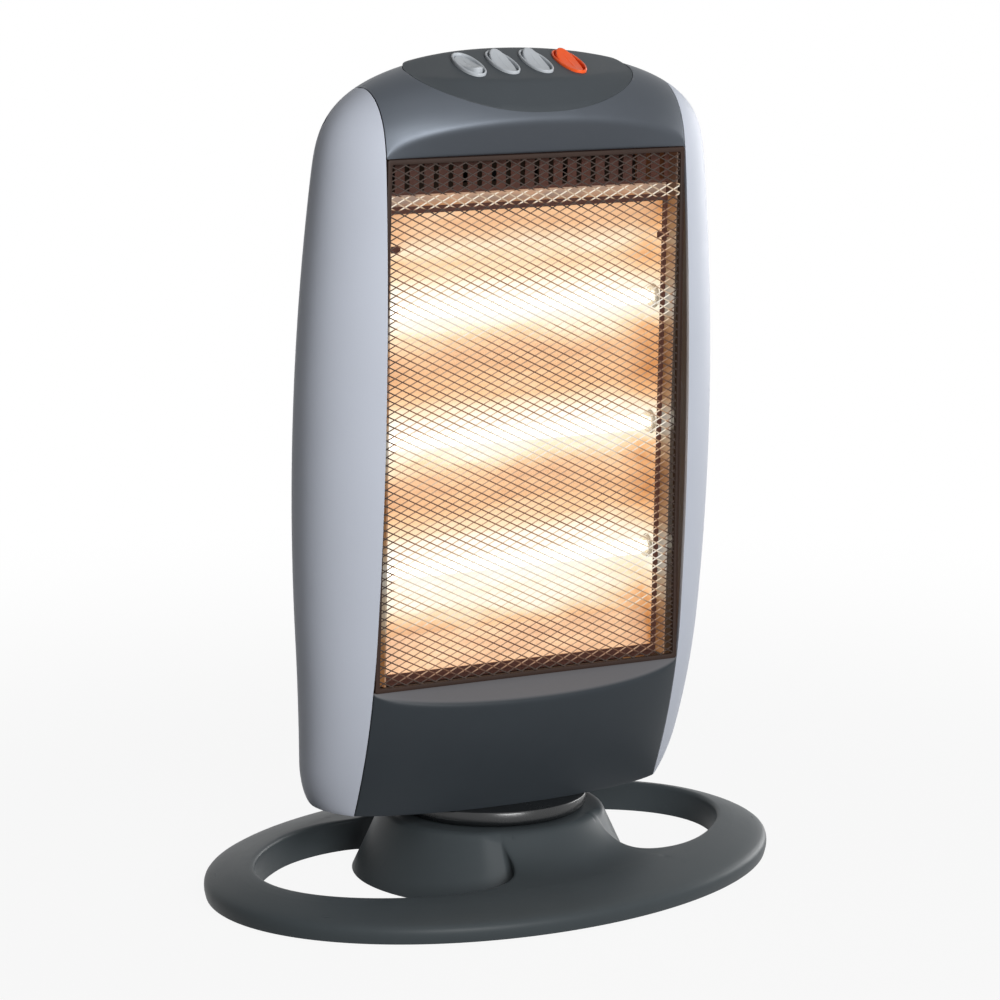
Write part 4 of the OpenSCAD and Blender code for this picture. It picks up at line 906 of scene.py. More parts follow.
def rear_surface(inset):
    """The rear between the seams, from the foot up to the line where the brow ends."""
    t = face_spread()[::-1]
    z = rows_up(crest_z(face_x(t, HEAD_TOP), inset) - REAR_DROP - SEAM_GAP)
    x = face_x(t, z)
    return np.stack([x, rear_y(x, z, inset), z], -1)


def rear_prism(outline, x, z, y0, y1):
    """A prism through the rear wall with an outline given as (across, up)."""
    ring = np.stack([outline[:, 0] + x, np.zeros(len(outline)), outline[:, 1] + z], -1)
    return loft("prism", on_head(np.stack([ring + [0, y0, 0], ring + [0, y1, 0]])))


print("back at the recess", round(float(rear_y(0.0, GRIP_Z)), 1), "mm behind the axis")

# %% The rear cover with its openings
rear = shell("rear_cover_skin", on_head(rear_surface(0.0)), on_head(rear_surface(WALL)))
WITHIN, BEHIND = 5.0, 2 * HALF_D
vent = round_rectangle(VENT_LEN, VENT_T, VENT_T / 2 - 0.01)
vent_x = (VENT_LEN + VENT_MIDDLE_GAP) / 2
cutters = [rear_prism(vent, s * vent_x, VENT_FOOT + i * VENT_PITCH + VENT_T / 2, WITHIN, BEHIND)
           for i in range(VENT_ROWS) for s in (-1, 1)]
grip_outline = round_rectangle(GRIP_W + 2 * GRIP_GAP, GRIP_H + 2 * GRIP_GAP, 4.3)
grip_ring = np.stack([grip_outline[:, 0], np.zeros(len(grip_outline)), grip_outline[:, 1]], -1)
cutters.append(loft("grip", on_head(on_grip(np.stack([grip_ring + [0, -GRIP_DEPTH, 0],
                                                      grip_ring + [0, GRIP_DEPTH, 0]])))))
cutters.append(loft("gland", on_head(cylinder_along(1, (0, GLAND_Z), GLAND_R + 0.4, WITHIN, BEHIND))))
for z in REAR_SCREW_Z:
    seat_y = float(rear_y(REAR_SCREW_X, z)) - SEAT_DEPTH
    cutters += [loft("seat", on_head(cylinder_along(1, (s * REAR_SCREW_X, z), SEAT_R, seat_y, BEHIND)))
                for s in (-1, 1)]
cut(rear, merged(joined("cutters", cutters)))
dress(smooth(rear), "head", DARK_PLASTIC, ["rear_cover"])

# %% [markdown]
# ## Finger recess
# A shallow box with a rounded rim lets two fingers lift the heater from behind. Its rings are rounded
# rectangles. Those of the rim follow the bow of the back, and those of the floor are flat.

# %% Finger recess
GRIP_CORNER, GRIP_LIP = 4.0, 1.0
# rim profile as (inset, height over the bowed rim), then the inner wall and floor
GRIP_RIM = [(0.0, -6.0), (0.0, -0.9), (0.27, -0.27), (0.9, 0.0), (1.3, 0.0), (1.8, -0.3), (2.0, -0.9)]
GRIP_FLOOR = [(2.1, -15.5), (2.7, -17.3), (4.5, -18.0)]


def grip_rings():
    """Rings of the recess: the outer wall, the rim following the back's bow, the inner wall, the floor."""
    rings = []
    profile = [(0.0, -GRIP_DEPTH, 0.0)] + [(i, h + GRIP_LIP, 1.0) for i, h in GRIP_RIM]
    profile += [(i, h, 0.0) for i, h in GRIP_FLOOR]
    for inset, height, bowed in profile:
        outline = round_rectangle(GRIP_W - 2 * inset, GRIP_H - 2 * inset, max(1.5, GRIP_CORNER - inset))
        drop = GRIP_BOW - np.sqrt(GRIP_BOW ** 2 - outline[:, 0] ** 2)
        rings.append(np.stack([outline[:, 0], height - bowed * drop, outline[:, 1]], -1))
    return np.array(rings)


grip = loft("finger_recess", on_head(on_grip(grip_rings())))
dress(smooth(grip), "head", DARK_PLASTIC, ["carry_grip"])

# %% [markdown]
# ## Control panel
# An oval insert sits in the brow. In front it carries on the brow's skin as a steep facet, then
# a softly rounded step leads on to the sloping bed that holds the keys. Each column of its top is laid
# from front to back: up the facet, round the step and over the bed.

# %% The key bed
STEP_Y = PANEL_MIDDLE_Y - 25
STEP_Z = HEAD_TOP - 15.2
STEP_R = 150.0
STEP_FILLET = 2.6
CROWN_R = 700.0
BED_ANGLE = math.radians(19)
PANEL_PROUD, PROUD_SOFTNESS = 2.0, 0.8


def bed_z(x, y):
    """Height of the sloping, slightly crowned key bed."""
    return STEP_Z + math.tan(BED_ANGLE) * (y - STEP_Y) - (CROWN_R - np.sqrt(CROWN_R ** 2 - x * x))


def panel_z(x, y):
    """The bed, held to a little above the head's skin by a soft minimum."""
    bed, cap = bed_z(x, y), skin_z(x, y) + PANEL_PROUD
    return (bed + cap - np.sqrt((bed - cap) ** 2 + PROUD_SOFTNESS ** 2)) / 2


print("bed", round(float(bed_z(0.0, PANEL_MIDDLE_Y)), 1), "mm high in its middle")

# %% Top of the control panel
PANEL_TIP = 0.05
PANEL_COLUMNS, FACET_ROWS, STEP_ROWS, BED_ROWS = 72, 5, 7, 26
LEAST_FACET = 0.06


def panel_top():
    """Rows of the insert's top: a straight facet, a rounded step and the bed, from front to rear."""
    x = (PANEL_HALF_LEN - PANEL_TIP) * np.sin(np.linspace(-np.pi / 2, np.pi / 2, PANEL_COLUMNS + 1))
    y0, y2 = insert_y(x, -1), insert_y(x, 1)
    y1 = np.maximum(STEP_Y + STEP_R - np.sqrt(STEP_R ** 2 - x * x), y0 + LEAST_FACET * (y2 - y0))
    foot = np.stack([x, y0, skin_z(x, y0)], -1)
    step = np.stack([x, y1, panel_z(x, y1)], -1)
    length = np.linalg.norm(step - foot, axis=-1)
    soft = np.minimum(STEP_FILLET, 0.45 * np.minimum(length, y2 - y1))
    low = step + (foot - step) * (soft / length)[:, None]
    high = np.stack([x, y1 + soft, panel_z(x, y1 + soft)], -1)
    facet = foot + (low - foot) * np.linspace(0, 1, FACET_ROWS)[:, None, None]
    v = np.linspace(0, 1, STEP_ROWS)[1:, None, None]
    bend = (1 - v) ** 2 * low + 2 * v * (1 - v) * step + v ** 2 * high
    y = high[:, 1] + (y2 - high[:, 1]) * np.linspace(0, 1, BED_ROWS)[1:, None]
    xx = np.broadcast_to(x, y.shape)
    return np.concatenate([facet, bend, np.stack([xx, y, panel_z(xx, y)], -1)])


print("rows and columns of the top", panel_top().shape[:2])

# %% [markdown]
# ## Holes for the keys
# Each key sits in an oval hole of the bed. Ovals of the keys, bezels and holes are one superellipse, a
# little fuller than an ellipse, placed by three numbers: across, up the slope and out of the bed.

# %% Ovals on the bed
KEY_Y = PANEL_MIDDLE_Y - 0.5
KEY_PITCH, KEY_W, KEY_LEN = 23.0, 12.0, 29.0
BEZEL_RIM, KEY_GAP = 2.0, 0.6
BEZEL_W, BEZEL_LEN = KEY_W + 2 * BEZEL_RIM, KEY_LEN + 2 * (BEZEL_RIM + KEY_GAP)
OVAL_POWER, OVAL_STEPS = 2.2, 64


def on_bed(points, key_x):
    """Points as (across, up the slope, out) in mm round a key's middle, brought into the head's frame."""
    p = np.asarray(points, float)
    x, y, z = p[..., 0], p[..., 1], p[..., 2]
    return np.stack([key_x + x, KEY_Y + y * math.cos(BED_ANGLE) - z * math.sin(BED_ANGLE),
                     float(bed_z(key_x, KEY_Y)) + y * math.sin(BED_ANGLE) + z * math.cos(BED_ANGLE)], -1)


def oval(width, length):
    """Boat shape a little fuller than an ellipse: |x/a|^2.2 + |y/b|^2.2 = 1."""
    angle = np.linspace(0, 2 * np.pi, OVAL_STEPS, endpoint=False)
    c, s = np.cos(angle), np.sin(angle)
    return np.stack([width / 2 * np.sign(c) * np.abs(c) ** (2 / OVAL_POWER),
                     length / 2 * np.sign(s) * np.abs(s) ** (2 / OVAL_POWER)], -1)


def oval_rings(width, length, profile):
    """Rings of an oval body from a profile of (inset, height)."""
    return np.array([np.concatenate([oval(width - 2 * i, length - 2 * i), np.full((OVAL_STEPS, 1), h)], 1)
                     for i, h in profile])


print("key", KEY_W, "by", KEY_LEN, "mm, one every", KEY_PITCH, "mm")

# %% The control panel with its holes
KEYS = {"rocker_switch_1": -1.5, "rocker_switch_2": -0.5, "rocker_switch_3": 0.5, "oscillation_switch": 1.5}
HOLE_INSET, HOLE_FROM, HOLE_TO = 0.2, -12.0, 9.0
top = panel_top()
insert = shell("control_panel_skin", on_head(top), on_head(top - [0, 0, PANEL_DEPTH]))
hole = oval_rings(BEZEL_W, BEZEL_LEN, [(HOLE_INSET, HOLE_FROM), (HOLE_INSET, HOLE_TO)])
holes = [loft("hole", on_head(on_bed(hole, share * KEY_PITCH))) for share in KEYS.values()]
cut(insert, merged(joined("holes", holes)))
rounded(insert, 0.4, sharper_than=50)
dress(smooth(insert, 38), "head", PANEL_PLASTIC, ["control_panel"])

# %% [markdown]
# ## Rocker keys
# Each key rocks in a rounded bezel that is the mouth of its switch. The key is a boat with a hollow
# top: its height over the pivot is an arc along its length, and its rim is rounded by a few rings.

# %% Sizes of switches and keys
BEZEL_PROFILE = [(0.5, -15.0), (0.5, -0.6), (0.0, -0.5), (0.0, 1.0), (0.12, 1.4), (0.4, 1.7), (0.7, 1.8),
                 (1.0, 1.7), (1.28, 1.4), (1.4, 1.0), (1.4, -11.0)]
BLADE_W, BLADE_T, BLADE_LEN, BLADE_X = 5.0, 0.8, 6.0, 3.0
HOUSING_FOOT = BEZEL_PROFILE[0][1]
PIVOT_DEPTH = 3.5
HOLLOW_R, HOLLOW_H = 60.0, 4.4
KEY_PROFILE = [(0.5, -1.2), (0.15, -0.9), (0.0, -0.2)]
KEY_RIM = [(0.0, -1.3), (0.06, -0.75), (0.28, -0.32), (0.62, -0.08), (1.1, 0.0), (2.2, 0.0), (3.4, 0.0),
           (4.6, 0.0), (5.5, 0.0)]
PIN_R, PIN_HALF = 1.2, 6.4
FOOT_W, FOOT_L, FOOT_DEPTH = 6.0, 8.0, 3.0
KEY_TILT = math.radians(8)
# switch: its key, the body that the key rides on and the way that it is tipped at rest
KEY_NODES = {"rocker_switch_1": ("rocker_key_1", "key_1", -1),
             "rocker_switch_2": ("rocker_key_2", "key_2", 1),
             "rocker_switch_3": ("rocker_key_3", "key_3", 1),
             "oscillation_switch": ("oscillation_key", "key_oscillation", 1)}
print("bezel", BEZEL_W, "by", round(BEZEL_LEN, 1), "mm")


# %% Rings of a key
def key_rings():
    """Rings of a key about its pivot: the skirt, the rounded rim and the hollow top."""
    skirt = oval_rings(KEY_W, KEY_LEN, KEY_PROFILE)
    rim = []
    for inset, drop in KEY_RIM:
        outline = oval(KEY_W - 2 * inset, KEY_LEN - 2 * inset)
        height = HOLLOW_H + HOLLOW_R - np.sqrt(HOLLOW_R ** 2 - outline[:, 1] ** 2) + drop
        rim.append(np.concatenate([outline, height[:, None]], 1))
    return np.concatenate([skirt, rim])


def rocked(points, tilt):
    """Turned about the pivot's axis, which runs across the key, then lowered to the pivot's height."""
    p = np.asarray(points, float)
    y = p[..., 1] * math.cos(tilt) - p[..., 2] * math.sin(tilt)
    z = p[..., 1] * math.sin(tilt) + p[..., 2] * math.cos(tilt)
    return np.stack([p[..., 0], y, z - PIVOT_DEPTH], -1)


def block_rings(width, length, z0, z1, x=0.0):
    """Two rings of an upright block with round corners."""
    outline = round_rectangle(width, length, 0.3 * min(width, length), 4) + [x, 0]
    return np.stack([np.concatenate([outline, np.full((len(outline), 1), z)], 1) for z in (z0, z1)])


print("a key has", len(key_rings()), "rings")

# %% Four switches with their keys
for node, share in KEYS.items():
    key_x = share * KEY_PITCH
    key_node, body, way = KEY_NODES[node]
    orange = node == "oscillation_switch"
    plastic, slot = (KEY_ORANGE, "key_orange") if orange else (KEY_GREY, "key_grey")
    parts = [loft("bezel", on_head(on_bed(oval_rings(BEZEL_W, BEZEL_LEN, BEZEL_PROFILE), key_x)))]
    for x in (-BLADE_X, BLADE_X):
        blade = block_rings(BLADE_T, BLADE_W, HOUSING_FOOT - BLADE_LEN, HOUSING_FOOT + 0.1, x)
        parts.append(loft("blade", on_head(on_bed(blade, key_x))))
    dress(smooth(joined(node + "_bezel", parts)), "head", plastic, [node])
    tilt = way * KEY_TILT
    solids = [key_rings(), cylinder_along(0, (0, 0), PIN_R, -PIN_HALF, PIN_HALF, 24),
              block_rings(FOOT_W, FOOT_L, -FOOT_DEPTH, 1.0)]
    parts = [loft("part", on_head(on_bed(rocked(rings, tilt), key_x))) for rings in solids]
    dress(smooth(joined(key_node + "_cap", parts)), body, plastic, [key_node])

# %% [markdown]
# ## The grille
# The guard is a net of two families of flat steel strands that cross at about 27 degrees to the
# level, welded into a border. Each strand is one straight bar of six sides, clipped where it meets
# the border, so a hundred and seventy of them stay light.

# %% Straight strands
BORDER_W, BORDER_FRONT, BORDER_BACK = 3.0, 1.3, -1.7
CELL_W, CELL_H = 10.0, 5.0
STRAND_HALF_W, STRAND_HALF_T = 0.4, 0.36
STRAND_SINK, STRAND_SIDES = 1.2, 6
SHORTEST_STRAND = 1.0


def opening_half_w(up):
    """Half width of the grille's place, following the seams."""
    foot, head = seam_x(GRILLE_FOOT) - SEAM_GAP, seam_x(GRILLE_TOP) - SEAM_GAP
    return foot + (head - foot) * up / GRILLE_H


def strand_lines(slope):
    """Ends of the straight lines up = c + slope * x of one family, clipped to the border's inside."""
    low, high = BORDER_W - STRAND_SINK, GRILLE_H - BORDER_W + STRAND_SINK
    steep = abs(slope)
    widest = opening_half_w(0.0)
    c = np.arange(low - steep * widest + CELL_H / 2, high + steep * widest, CELL_H)
    ends = []
    for side in (-1, 1):
        x = np.full_like(c, side * widest)
        for _ in range(4):
            x = side * (opening_half_w(np.clip(c + slope * x, low, high)) - BORDER_W + STRAND_SINK)
        ends.append(x)
    at_low, at_high = (low - c) / slope, (high - c) / slope
    x0 = np.maximum(ends[0], np.minimum(at_low, at_high))
    x1 = np.minimum(ends[1], np.maximum(at_low, at_high))
    keep = x1 - x0 > SHORTEST_STRAND
    return np.stack([np.stack([x, c + slope * x], -1)[keep] for x in (x0, x1)], 1)


def net(name, slope, out):
    """One family as a mesh: at either end of each line a flat six-sided ring across it."""
    ends = strand_lines(slope)
    angle = np.linspace(0, 2 * np.pi, STRAND_SIDES, endpoint=False)
    across_strand, out_strand = STRAND_HALF_W * np.cos(angle), STRAND_HALF_T * np.sin(angle)
    normal = np.array([-slope, 1.0]) / math.hypot(slope, 1.0)
    flat = ends[:, :, None, :] + across_strand[None, None, :, None] * normal
    points = np.concatenate([flat, np.broadcast_to(out + out_strand[:, None], flat.shape[:3] + (1,))], -1)
    k = np.arange(STRAND_SIDES)
    following = (k + 1) % STRAND_SIDES
    walls = np.stack([k, following, following + STRAND_SIDES, k + STRAND_SIDES], -1).tolist()
    bar = walls + [k[::-1].tolist(), (k + STRAND_SIDES).tolist()]
    faces = [[corner + 2 * STRAND_SIDES * i for corner in face] for i in range(len(ends)) for face in bar]
    return merged(mesh_piece(name, on_head(on_grille(points.reshape(-1, 3))), faces), distance=1e-7)


print("strands", len(strand_lines(CELL_H / CELL_W)), "in each family")

# %% [markdown]
# ## Border of the net
# A folded steel strip holds the ends of the strands. It is one small cross-section carried round the
# opening's outline, which narrows upwards with the seams.

# %% Frames round the opening
BORDER_GAP, BORDER_ROUND = 0.3, 1.2


def framed(name, outline_at, profile):
    """A closed frame: a cross-section of (inset, out) points carried round an outline."""
    rings = [np.concatenate([outline_at(i), np.full((len(outline_at(i)), 1), out)], 1)
             for i, out in profile]
    return loft(name, on_head(on_grille(np.array(rings + rings[:1]))), cap_start=False, cap_end=False)


def border_outline(inset):
    """Trapezoid inside the grille's opening with small round corners."""
    half = opening_half_w(GRILLE_H / 2)
    outline = round_rectangle(2 * half - 2 * inset, GRILLE_H - 2 * BORDER_GAP - 2 * inset,
                              BORDER_ROUND, 5)
    up = outline[:, 1] + GRILLE_H / 2
    wide = np.where(outline[:, 0] > 0, 1, -1) * (opening_half_w(up) - half)
    return np.stack([outline[:, 0] + wide, up], -1)


print("opening", round(2 * float(opening_half_w(0.0)), 1), "mm wide at its foot")

# %% [markdown]
# ## Glow
# Three tubes glow behind the net. The light that everything near them would send back is painted into its
# emission: bell curves round the tubes' heights, stirred by noise that is stretched along the tubes, looked up
# in a ramp from brown over orange to white. The net takes a share of that painted glow, as its strands drown in
# light.

# %% Where the painted glow is
PLANE_U = on_head(on_grille([0.0, 1.0, 0.0])) - on_head(on_grille([0.0, 0.0, 0.0]))
PLANE_U = PLANE_U / np.linalg.norm(PLANE_U)
PLANE_FOOT = on_head(on_grille([0.0, 0.0, 0.0]))
WINDOW_FOOT, WINDOW_H, FLANGE_H = 4.0, 290.0, 8.0
WINDOW_TOP, WINDOW_HALF_W = WINDOW_FOOT + WINDOW_H, 96.0
TUBE_PITCH = 80.0
TUBES_UP = [WINDOW_FOOT + WINDOW_H / 2 + i * TUBE_PITCH for i in (-1, 0, 1)]
BAND_WIDTH, LOW_BAND_WIDTH = 17.0, 20.0
EDGE_FROM, EDGE_TO = 72.0, 96.0
print("tubes at", TUBES_UP, "mm up the grille")

# %% Colours of the glow
GLOW_STOPS = [(0.0, (0.10, 0.03, 0.01)), (0.2, (0.60, 0.24, 0.07)), (0.42, (0.88, 0.48, 0.22)),
              (0.6, (0.94, 0.70, 0.45)), (0.8, (0.98, 0.91, 0.76)), (1.0, (1.0, 0.99, 0.93))]
FLANGE_LIGHT = 0.8
PAINTED_GLOW_GAIN, PAINTED_GLOW_LEVEL, PAINTED_GLOW_STIR = 0.66, 0.36, 22.0
ECHO_SHARE, EDGE_LOSS, FLANGE_LOSS = 0.3, 0.14, 0.3
# painted shade and light: the falling family of strands gets darker glow colours than the rising, lit one
PAINTED_SHADE_NET_STOPS = [(0.0, (0.0, 0.0, 0.0)), (0.3, (0.10, 0.035, 0.012)), (0.5, (0.26, 0.11, 0.045)),
                  (0.7, (0.50, 0.30, 0.16)), (0.85, (0.80, 0.64, 0.46)), (1.0, (0.90, 0.84, 0.72))]
PAINTED_LIGHT_NET_STOPS = [(0.0, (0.0, 0.0, 0.0)), (0.3, (0.34, 0.19, 0.11)), (0.5, (0.66, 0.44, 0.28)),
                 (0.7, (0.90, 0.74, 0.55)), (0.85, (1.0, 0.95, 0.82)), (1.0, (1.0, 1.0, 0.94))]


def painted_glow_field(f):
    """Painted glow: a sum of bells round the tubes, two weaker bells near the ends, and streaks of noise, fading
    at the sides.
    """
    up = f.along(PLANE_U, PLANE_FOOT)
    sideways = f.along(HEAD_X).maths("ABSOLUTE")
    streaks = f.noise(20.0, detail=4.0, roughness=0.6, place=f.stretched((0.3, 0.3, 1.0)))
    patches = f.noise(7.0, detail=2.0)
    fine = f.noise(6.0, place=f.stretched((0.12, 0.12, 1.0)))
    stirred = up + (streaks - 0.5) * PAINTED_GLOW_STIR
    # heat here is the level of the painted glow, not a temperature of the surface
    heat = sum((stirred.bell(tube, BAND_WIDTH) for tube in TUBES_UP[1:]),
               stirred.bell(TUBES_UP[0], LOW_BAND_WIDTH))
    echo = (stirred.bell(WINDOW_TOP - 28.0, 11.0) * ECHO_SHARE
            + stirred.bell(WINDOW_FOOT + 38.0, 9.0) * ECHO_SHARE)
    # the painted glow fades towards the window's sides and over the flange
    edge = sideways.step(EDGE_FROM, EDGE_TO) * EDGE_LOSS
    over = up.step(WINDOW_TOP - 3.0, WINDOW_TOP + 2.0) * FLANGE_LOSS
    stir = (streaks - 0.5) * 0.36 + (fine - 0.5) * 0.3 + (patches - 0.5) * 0.1
    return heat * PAINTED_GLOW_GAIN + echo + stir - edge - over + PAINTED_GLOW_LEVEL


print("the glow has", len(GLOW_STOPS), "stops")

# %% Where the glow stops
def in_window(f):
    """1 inside the glowing window and 0 over its frame."""
    up = f.along(PLANE_U, PLANE_FOOT)
    sideways = f.along(HEAD_X).maths("ABSOLUTE")
    beside = sideways.step(WINDOW_HALF_W + 2.0, WINDOW_HALF_W - 3.0)
    over_foot = up.step(WINDOW_FOOT + 1.0, WINDOW_FOOT + 5.0)
    return beside * over_foot * up.step(WINDOW_TOP - 2.0, WINDOW_TOP - 6.0)


def net_light(f):
    """Painted glow on the net: the painted glow field over the window, and an even share over the flange above it.
    """
    up = f.along(PLANE_U, PLANE_FOOT)
    flange_top = WINDOW_TOP + FLANGE_H
    flange = up.step(WINDOW_TOP, WINDOW_TOP + 1.5) * up.step(flange_top + 1.5, flange_top)
    return (painted_glow_field(f).limited() * in_window(f)).maths("MAXIMUM", flange * FLANGE_LIGHT)


def under_slots(f):
    """The painted glow field up to the window's top and nothing higher, where the slots stay dark."""
    return painted_glow_field(f).limited() * f.along(PLANE_U, PLANE_FOOT).step(WINDOW_TOP + 6.0, WINDOW_TOP)


print("window from", WINDOW_FOOT, "to", WINDOW_TOP, "mm up the grille")

# %% [markdown]
# ## Finishes near the tubes
# Sheet steel and enamel brown unevenly with the heat. The light that those facing the tubes send back is painted
# into their emission, looked up from the painted glow field. The others are plain enamel with a faint stain.

# %% Finishes near the tubes
def glowing(name, color, strength, stops, metallic=0.0, roughness=0.5, painted_glow_at=painted_glow_field):
    """A finish with painted light: emission from the painted glow field, for the tubes' light that it sends back,
    over a base colour.
    """
    f = Finish(name)
    # heat here is the level of the painted glow, not a temperature of the surface
    heat = painted_glow_at(f).limited()
    grain = f.noise(1.5, detail=2.0)
    stain = f.noise(35.0, detail=3.0)
    dark = [c * 0.75 for c in color]
    return f.done(Base_Color=f.blend(stain, dark, color), Metallic=metallic,
                  Roughness=grain * 0.1 + stain * 0.12 + roughness - 0.1, Specular_IOR_Level=0.3,
                  Emission_Color=f.ramp(heat, stops), Emission_Strength=strength,
                  Normal=f.bump(grain, 0.01))


def enamel(name, color, gloss=0.55):
    """Dark heat-proof enamel, browned unevenly by the heat."""
    f = Finish(name)
    stain = f.noise(22.0, detail=3.0)
    grain = f.noise(0.8, detail=2.0)
    browned = [min(1.0, color[0] * 1.6), color[1] * 1.2, color[2]]
    return f.done(Base_Color=f.blend(stain, color, browned), Roughness=grain * 0.1 + gloss - 0.05,
                  Specular_IOR_Level=0.2, Normal=f.bump(grain, 0.012))


# one copy of the net's finish with painted shade for the falling strands, one with painted light for the rising
# ones, both with painted glow
NET_PAINTED_SHADE = glowing("browned_net_steel", (0.050, 0.034, 0.028), 0.75, PAINTED_SHADE_NET_STOPS,
                   painted_glow_at=net_light)
NET_PAINTED_LIGHT = glowing("heat_lit_net_steel", (0.070, 0.048, 0.040), 0.85, PAINTED_LIGHT_NET_STOPS,
                  painted_glow_at=net_light)
BORDER_ENAMEL = enamel("brown_black_enamel", (0.022, 0.014, 0.011))
FRAME_ENAMEL = enamel("browned_frame_enamel", (0.062, 0.030, 0.024))
# the reflector's emission is painted glow: the tubes' light that it sends back
REFLECTOR_METAL = glowing("bright_reflector", (0.30, 0.26, 0.22), 0.85, GLOW_STOPS, 0.8, roughness=0.45)
print("glowing finishes ready")

# %% The grille
NET_FRONT, NET_BACK = 0.45, -0.15
# the falling strands take the finish with painted shade, the rising ones the finish with painted light
falling = net("grille_net_falling", -CELL_H / CELL_W, NET_FRONT)
dress(smooth(falling), "head", NET_PAINTED_SHADE, ["grille_mesh"])
dress(smooth(net("grille_net_rising", CELL_H / CELL_W, NET_BACK)), "head", NET_PAINTED_LIGHT)
border_edge = [(0.0, BORDER_BACK), (0.0, BORDER_FRONT - 0.5), (0.2, BORDER_FRONT - 0.15),
               (0.6, BORDER_FRONT)]
BORDER_PROFILE = border_edge + [(BORDER_W - inset, out) for inset, out in border_edge[::-1]]
border = framed("grille_border_frame", border_outline, BORDER_PROFILE)
dress(smooth(border), "head", BORDER_ENAMEL, ["grille_border"])

# %% [markdown]
# ## Element frame
# A pressed sheet with a band of vent slots frames the glowing window. It is a grid of cells from which
# the slots and the window are left out, which needs no cutting at all. A raised lip runs round the
# window, and a small tab shows on either side near its top.

# %% Sheets made of cells
SHEET_T = 0.8
FRAME_DEPTH = 11.0
FRAME_EDGE = 1.0
REFLECTOR_HALF_W = 97.0
FRAME_HALF_W = REFLECTOR_HALF_W + SHEET_T
VENT_H, VENT_MARGIN, VENT_SLOTS, VENT_SLOT_W = 21.0, 4.0, 20, 3.4
SLOT_FOOT = GRILLE_H - VENT_H
TAB_UP, TAB_X, TAB_W, TAB_H = 268.0, 89.0, 8.0, 4.0
TAB_OUT, TAB_T = 4.0, 1.2
LIP_W, LIP_SIDE, LIP_FRONT, LIP_T = 4.2, 3.0, -9.6, 1.4


def plate(name, xs, ups, is_open, out, thickness):
    """A sheet of cells between sorted breakpoints, without the cells that are open, given its thickness."""
    gx, gy = np.meshgrid(xs, ups)
    points = np.stack([gx, gy, np.full_like(gx, out)], -1)
    middle_x, middle_up = (xs[1:] + xs[:-1]) / 2, (ups[1:] + ups[:-1]) / 2
    solid = ~is_open(*np.meshgrid(middle_x, middle_up)).reshape(-1)
    obj = mesh_piece(name, on_head(on_grille(points)), grid_quads(len(ups), len(xs))[solid])
    wall = obj.modifiers.new("wall", "SOLIDIFY")
    wall.thickness = thickness * MM
    wall.offset = -1.0
    return merged(settled(obj))


print("frame", 2 * FRAME_HALF_W, "mm wide")

# %% The element frame
slot_middle = -FRAME_HALF_W + (np.arange(VENT_SLOTS) + 0.5) * 2 * FRAME_HALF_W / VENT_SLOTS
xs = np.unique(np.concatenate([[-FRAME_HALF_W, -REFLECTOR_HALF_W, REFLECTOR_HALF_W, FRAME_HALF_W],
                               slot_middle - VENT_SLOT_W / 2, slot_middle + VENT_SLOT_W / 2]))
ups = np.array([FRAME_EDGE, WINDOW_FOOT, WINDOW_TOP + FLANGE_H, SLOT_FOOT, GRILLE_H - VENT_MARGIN,
                GRILLE_H - FRAME_EDGE])


def frame_open(x, up):
    """True for the cells of the window and of the vent slots."""
    window = (np.abs(x) < REFLECTOR_HALF_W) & (up > WINDOW_FOOT) & (up < WINDOW_TOP + FLANGE_H)
    slot = np.min(np.abs(x[..., None] - slot_middle), -1) < VENT_SLOT_W / 2
    return window | (slot & (up > SLOT_FOOT) & (up < GRILLE_H - VENT_MARGIN))


parts = [plate("sheet", xs, ups, frame_open, -FRAME_DEPTH, SHEET_T)]
lip_inside = REFLECTOR_HALF_W - LIP_SIDE
lip_xs = np.array([-REFLECTOR_HALF_W, -lip_inside, lip_inside, REFLECTOR_HALF_W])
lip_ups = np.array([WINDOW_FOOT, WINDOW_FOOT + LIP_W, WINDOW_TOP - LIP_W + 1, WINDOW_TOP + 1])
parts.append(plate("lip", lip_xs, lip_ups,
                   lambda x, up: (np.abs(x) < lip_inside) & (lip_ups[1] < up) & (up < lip_ups[2]),
                   LIP_FRONT, LIP_T))
for s in (-1, 1):
    tab_x = np.sort(s * np.array([TAB_X, TAB_X + TAB_W]))
    parts.append(plate("tab", tab_x, np.array([TAB_UP, TAB_UP + TAB_H]), lambda x, up: x > REFLECTOR_HALF_W,
                       TAB_OUT - FRAME_DEPTH, TAB_T))
element_frame = joined("element_frame_sheet", parts)
dress(smooth(element_frame), "head", FRAME_ENAMEL, ["element_frame"])

# %% [markdown]
# ## Reflector
# The reflector is one bright sheet with a round trough behind each tube. Its side view is three arcs
# between a foot and a flange, swept straight across, and a second copy behind gives it its thickness.

# %% Reflector
CUSP_DEPTH, TROUGH_DEPTH = FRAME_DEPTH + 10, 20.0
TROUGH_R = ((TUBE_PITCH / 2) ** 2 + TROUGH_DEPTH ** 2) / (2 * TROUGH_DEPTH)
REFLECTOR_DEPTH, REFLECTOR_T = FRAME_DEPTH + SHEET_T + 0.1, 1.0
TROUGH_STEPS, REFLECTOR_COLUMNS = 28, 9


def reflector_line():
    """Side view of the reflector as (up, out): a foot, three arcs and a flange on top."""
    half_angle = math.asin(TUBE_PITCH / 2 / TROUGH_R)
    b = np.linspace(-half_angle, half_angle, TROUGH_STEPS)
    out = TROUGH_R * (1 - np.cos(b)) - CUSP_DEPTH - TROUGH_DEPTH
    arcs = [np.stack([c + TROUGH_R * np.sin(b), out], -1) for c in TUBES_UP]
    return np.concatenate([[[WINDOW_FOOT + 0.3, -REFLECTOR_DEPTH]], *arcs,
                           [[WINDOW_TOP, -REFLECTOR_DEPTH],
                            [WINDOW_TOP + FLANGE_H - 0.3, -REFLECTOR_DEPTH]]])


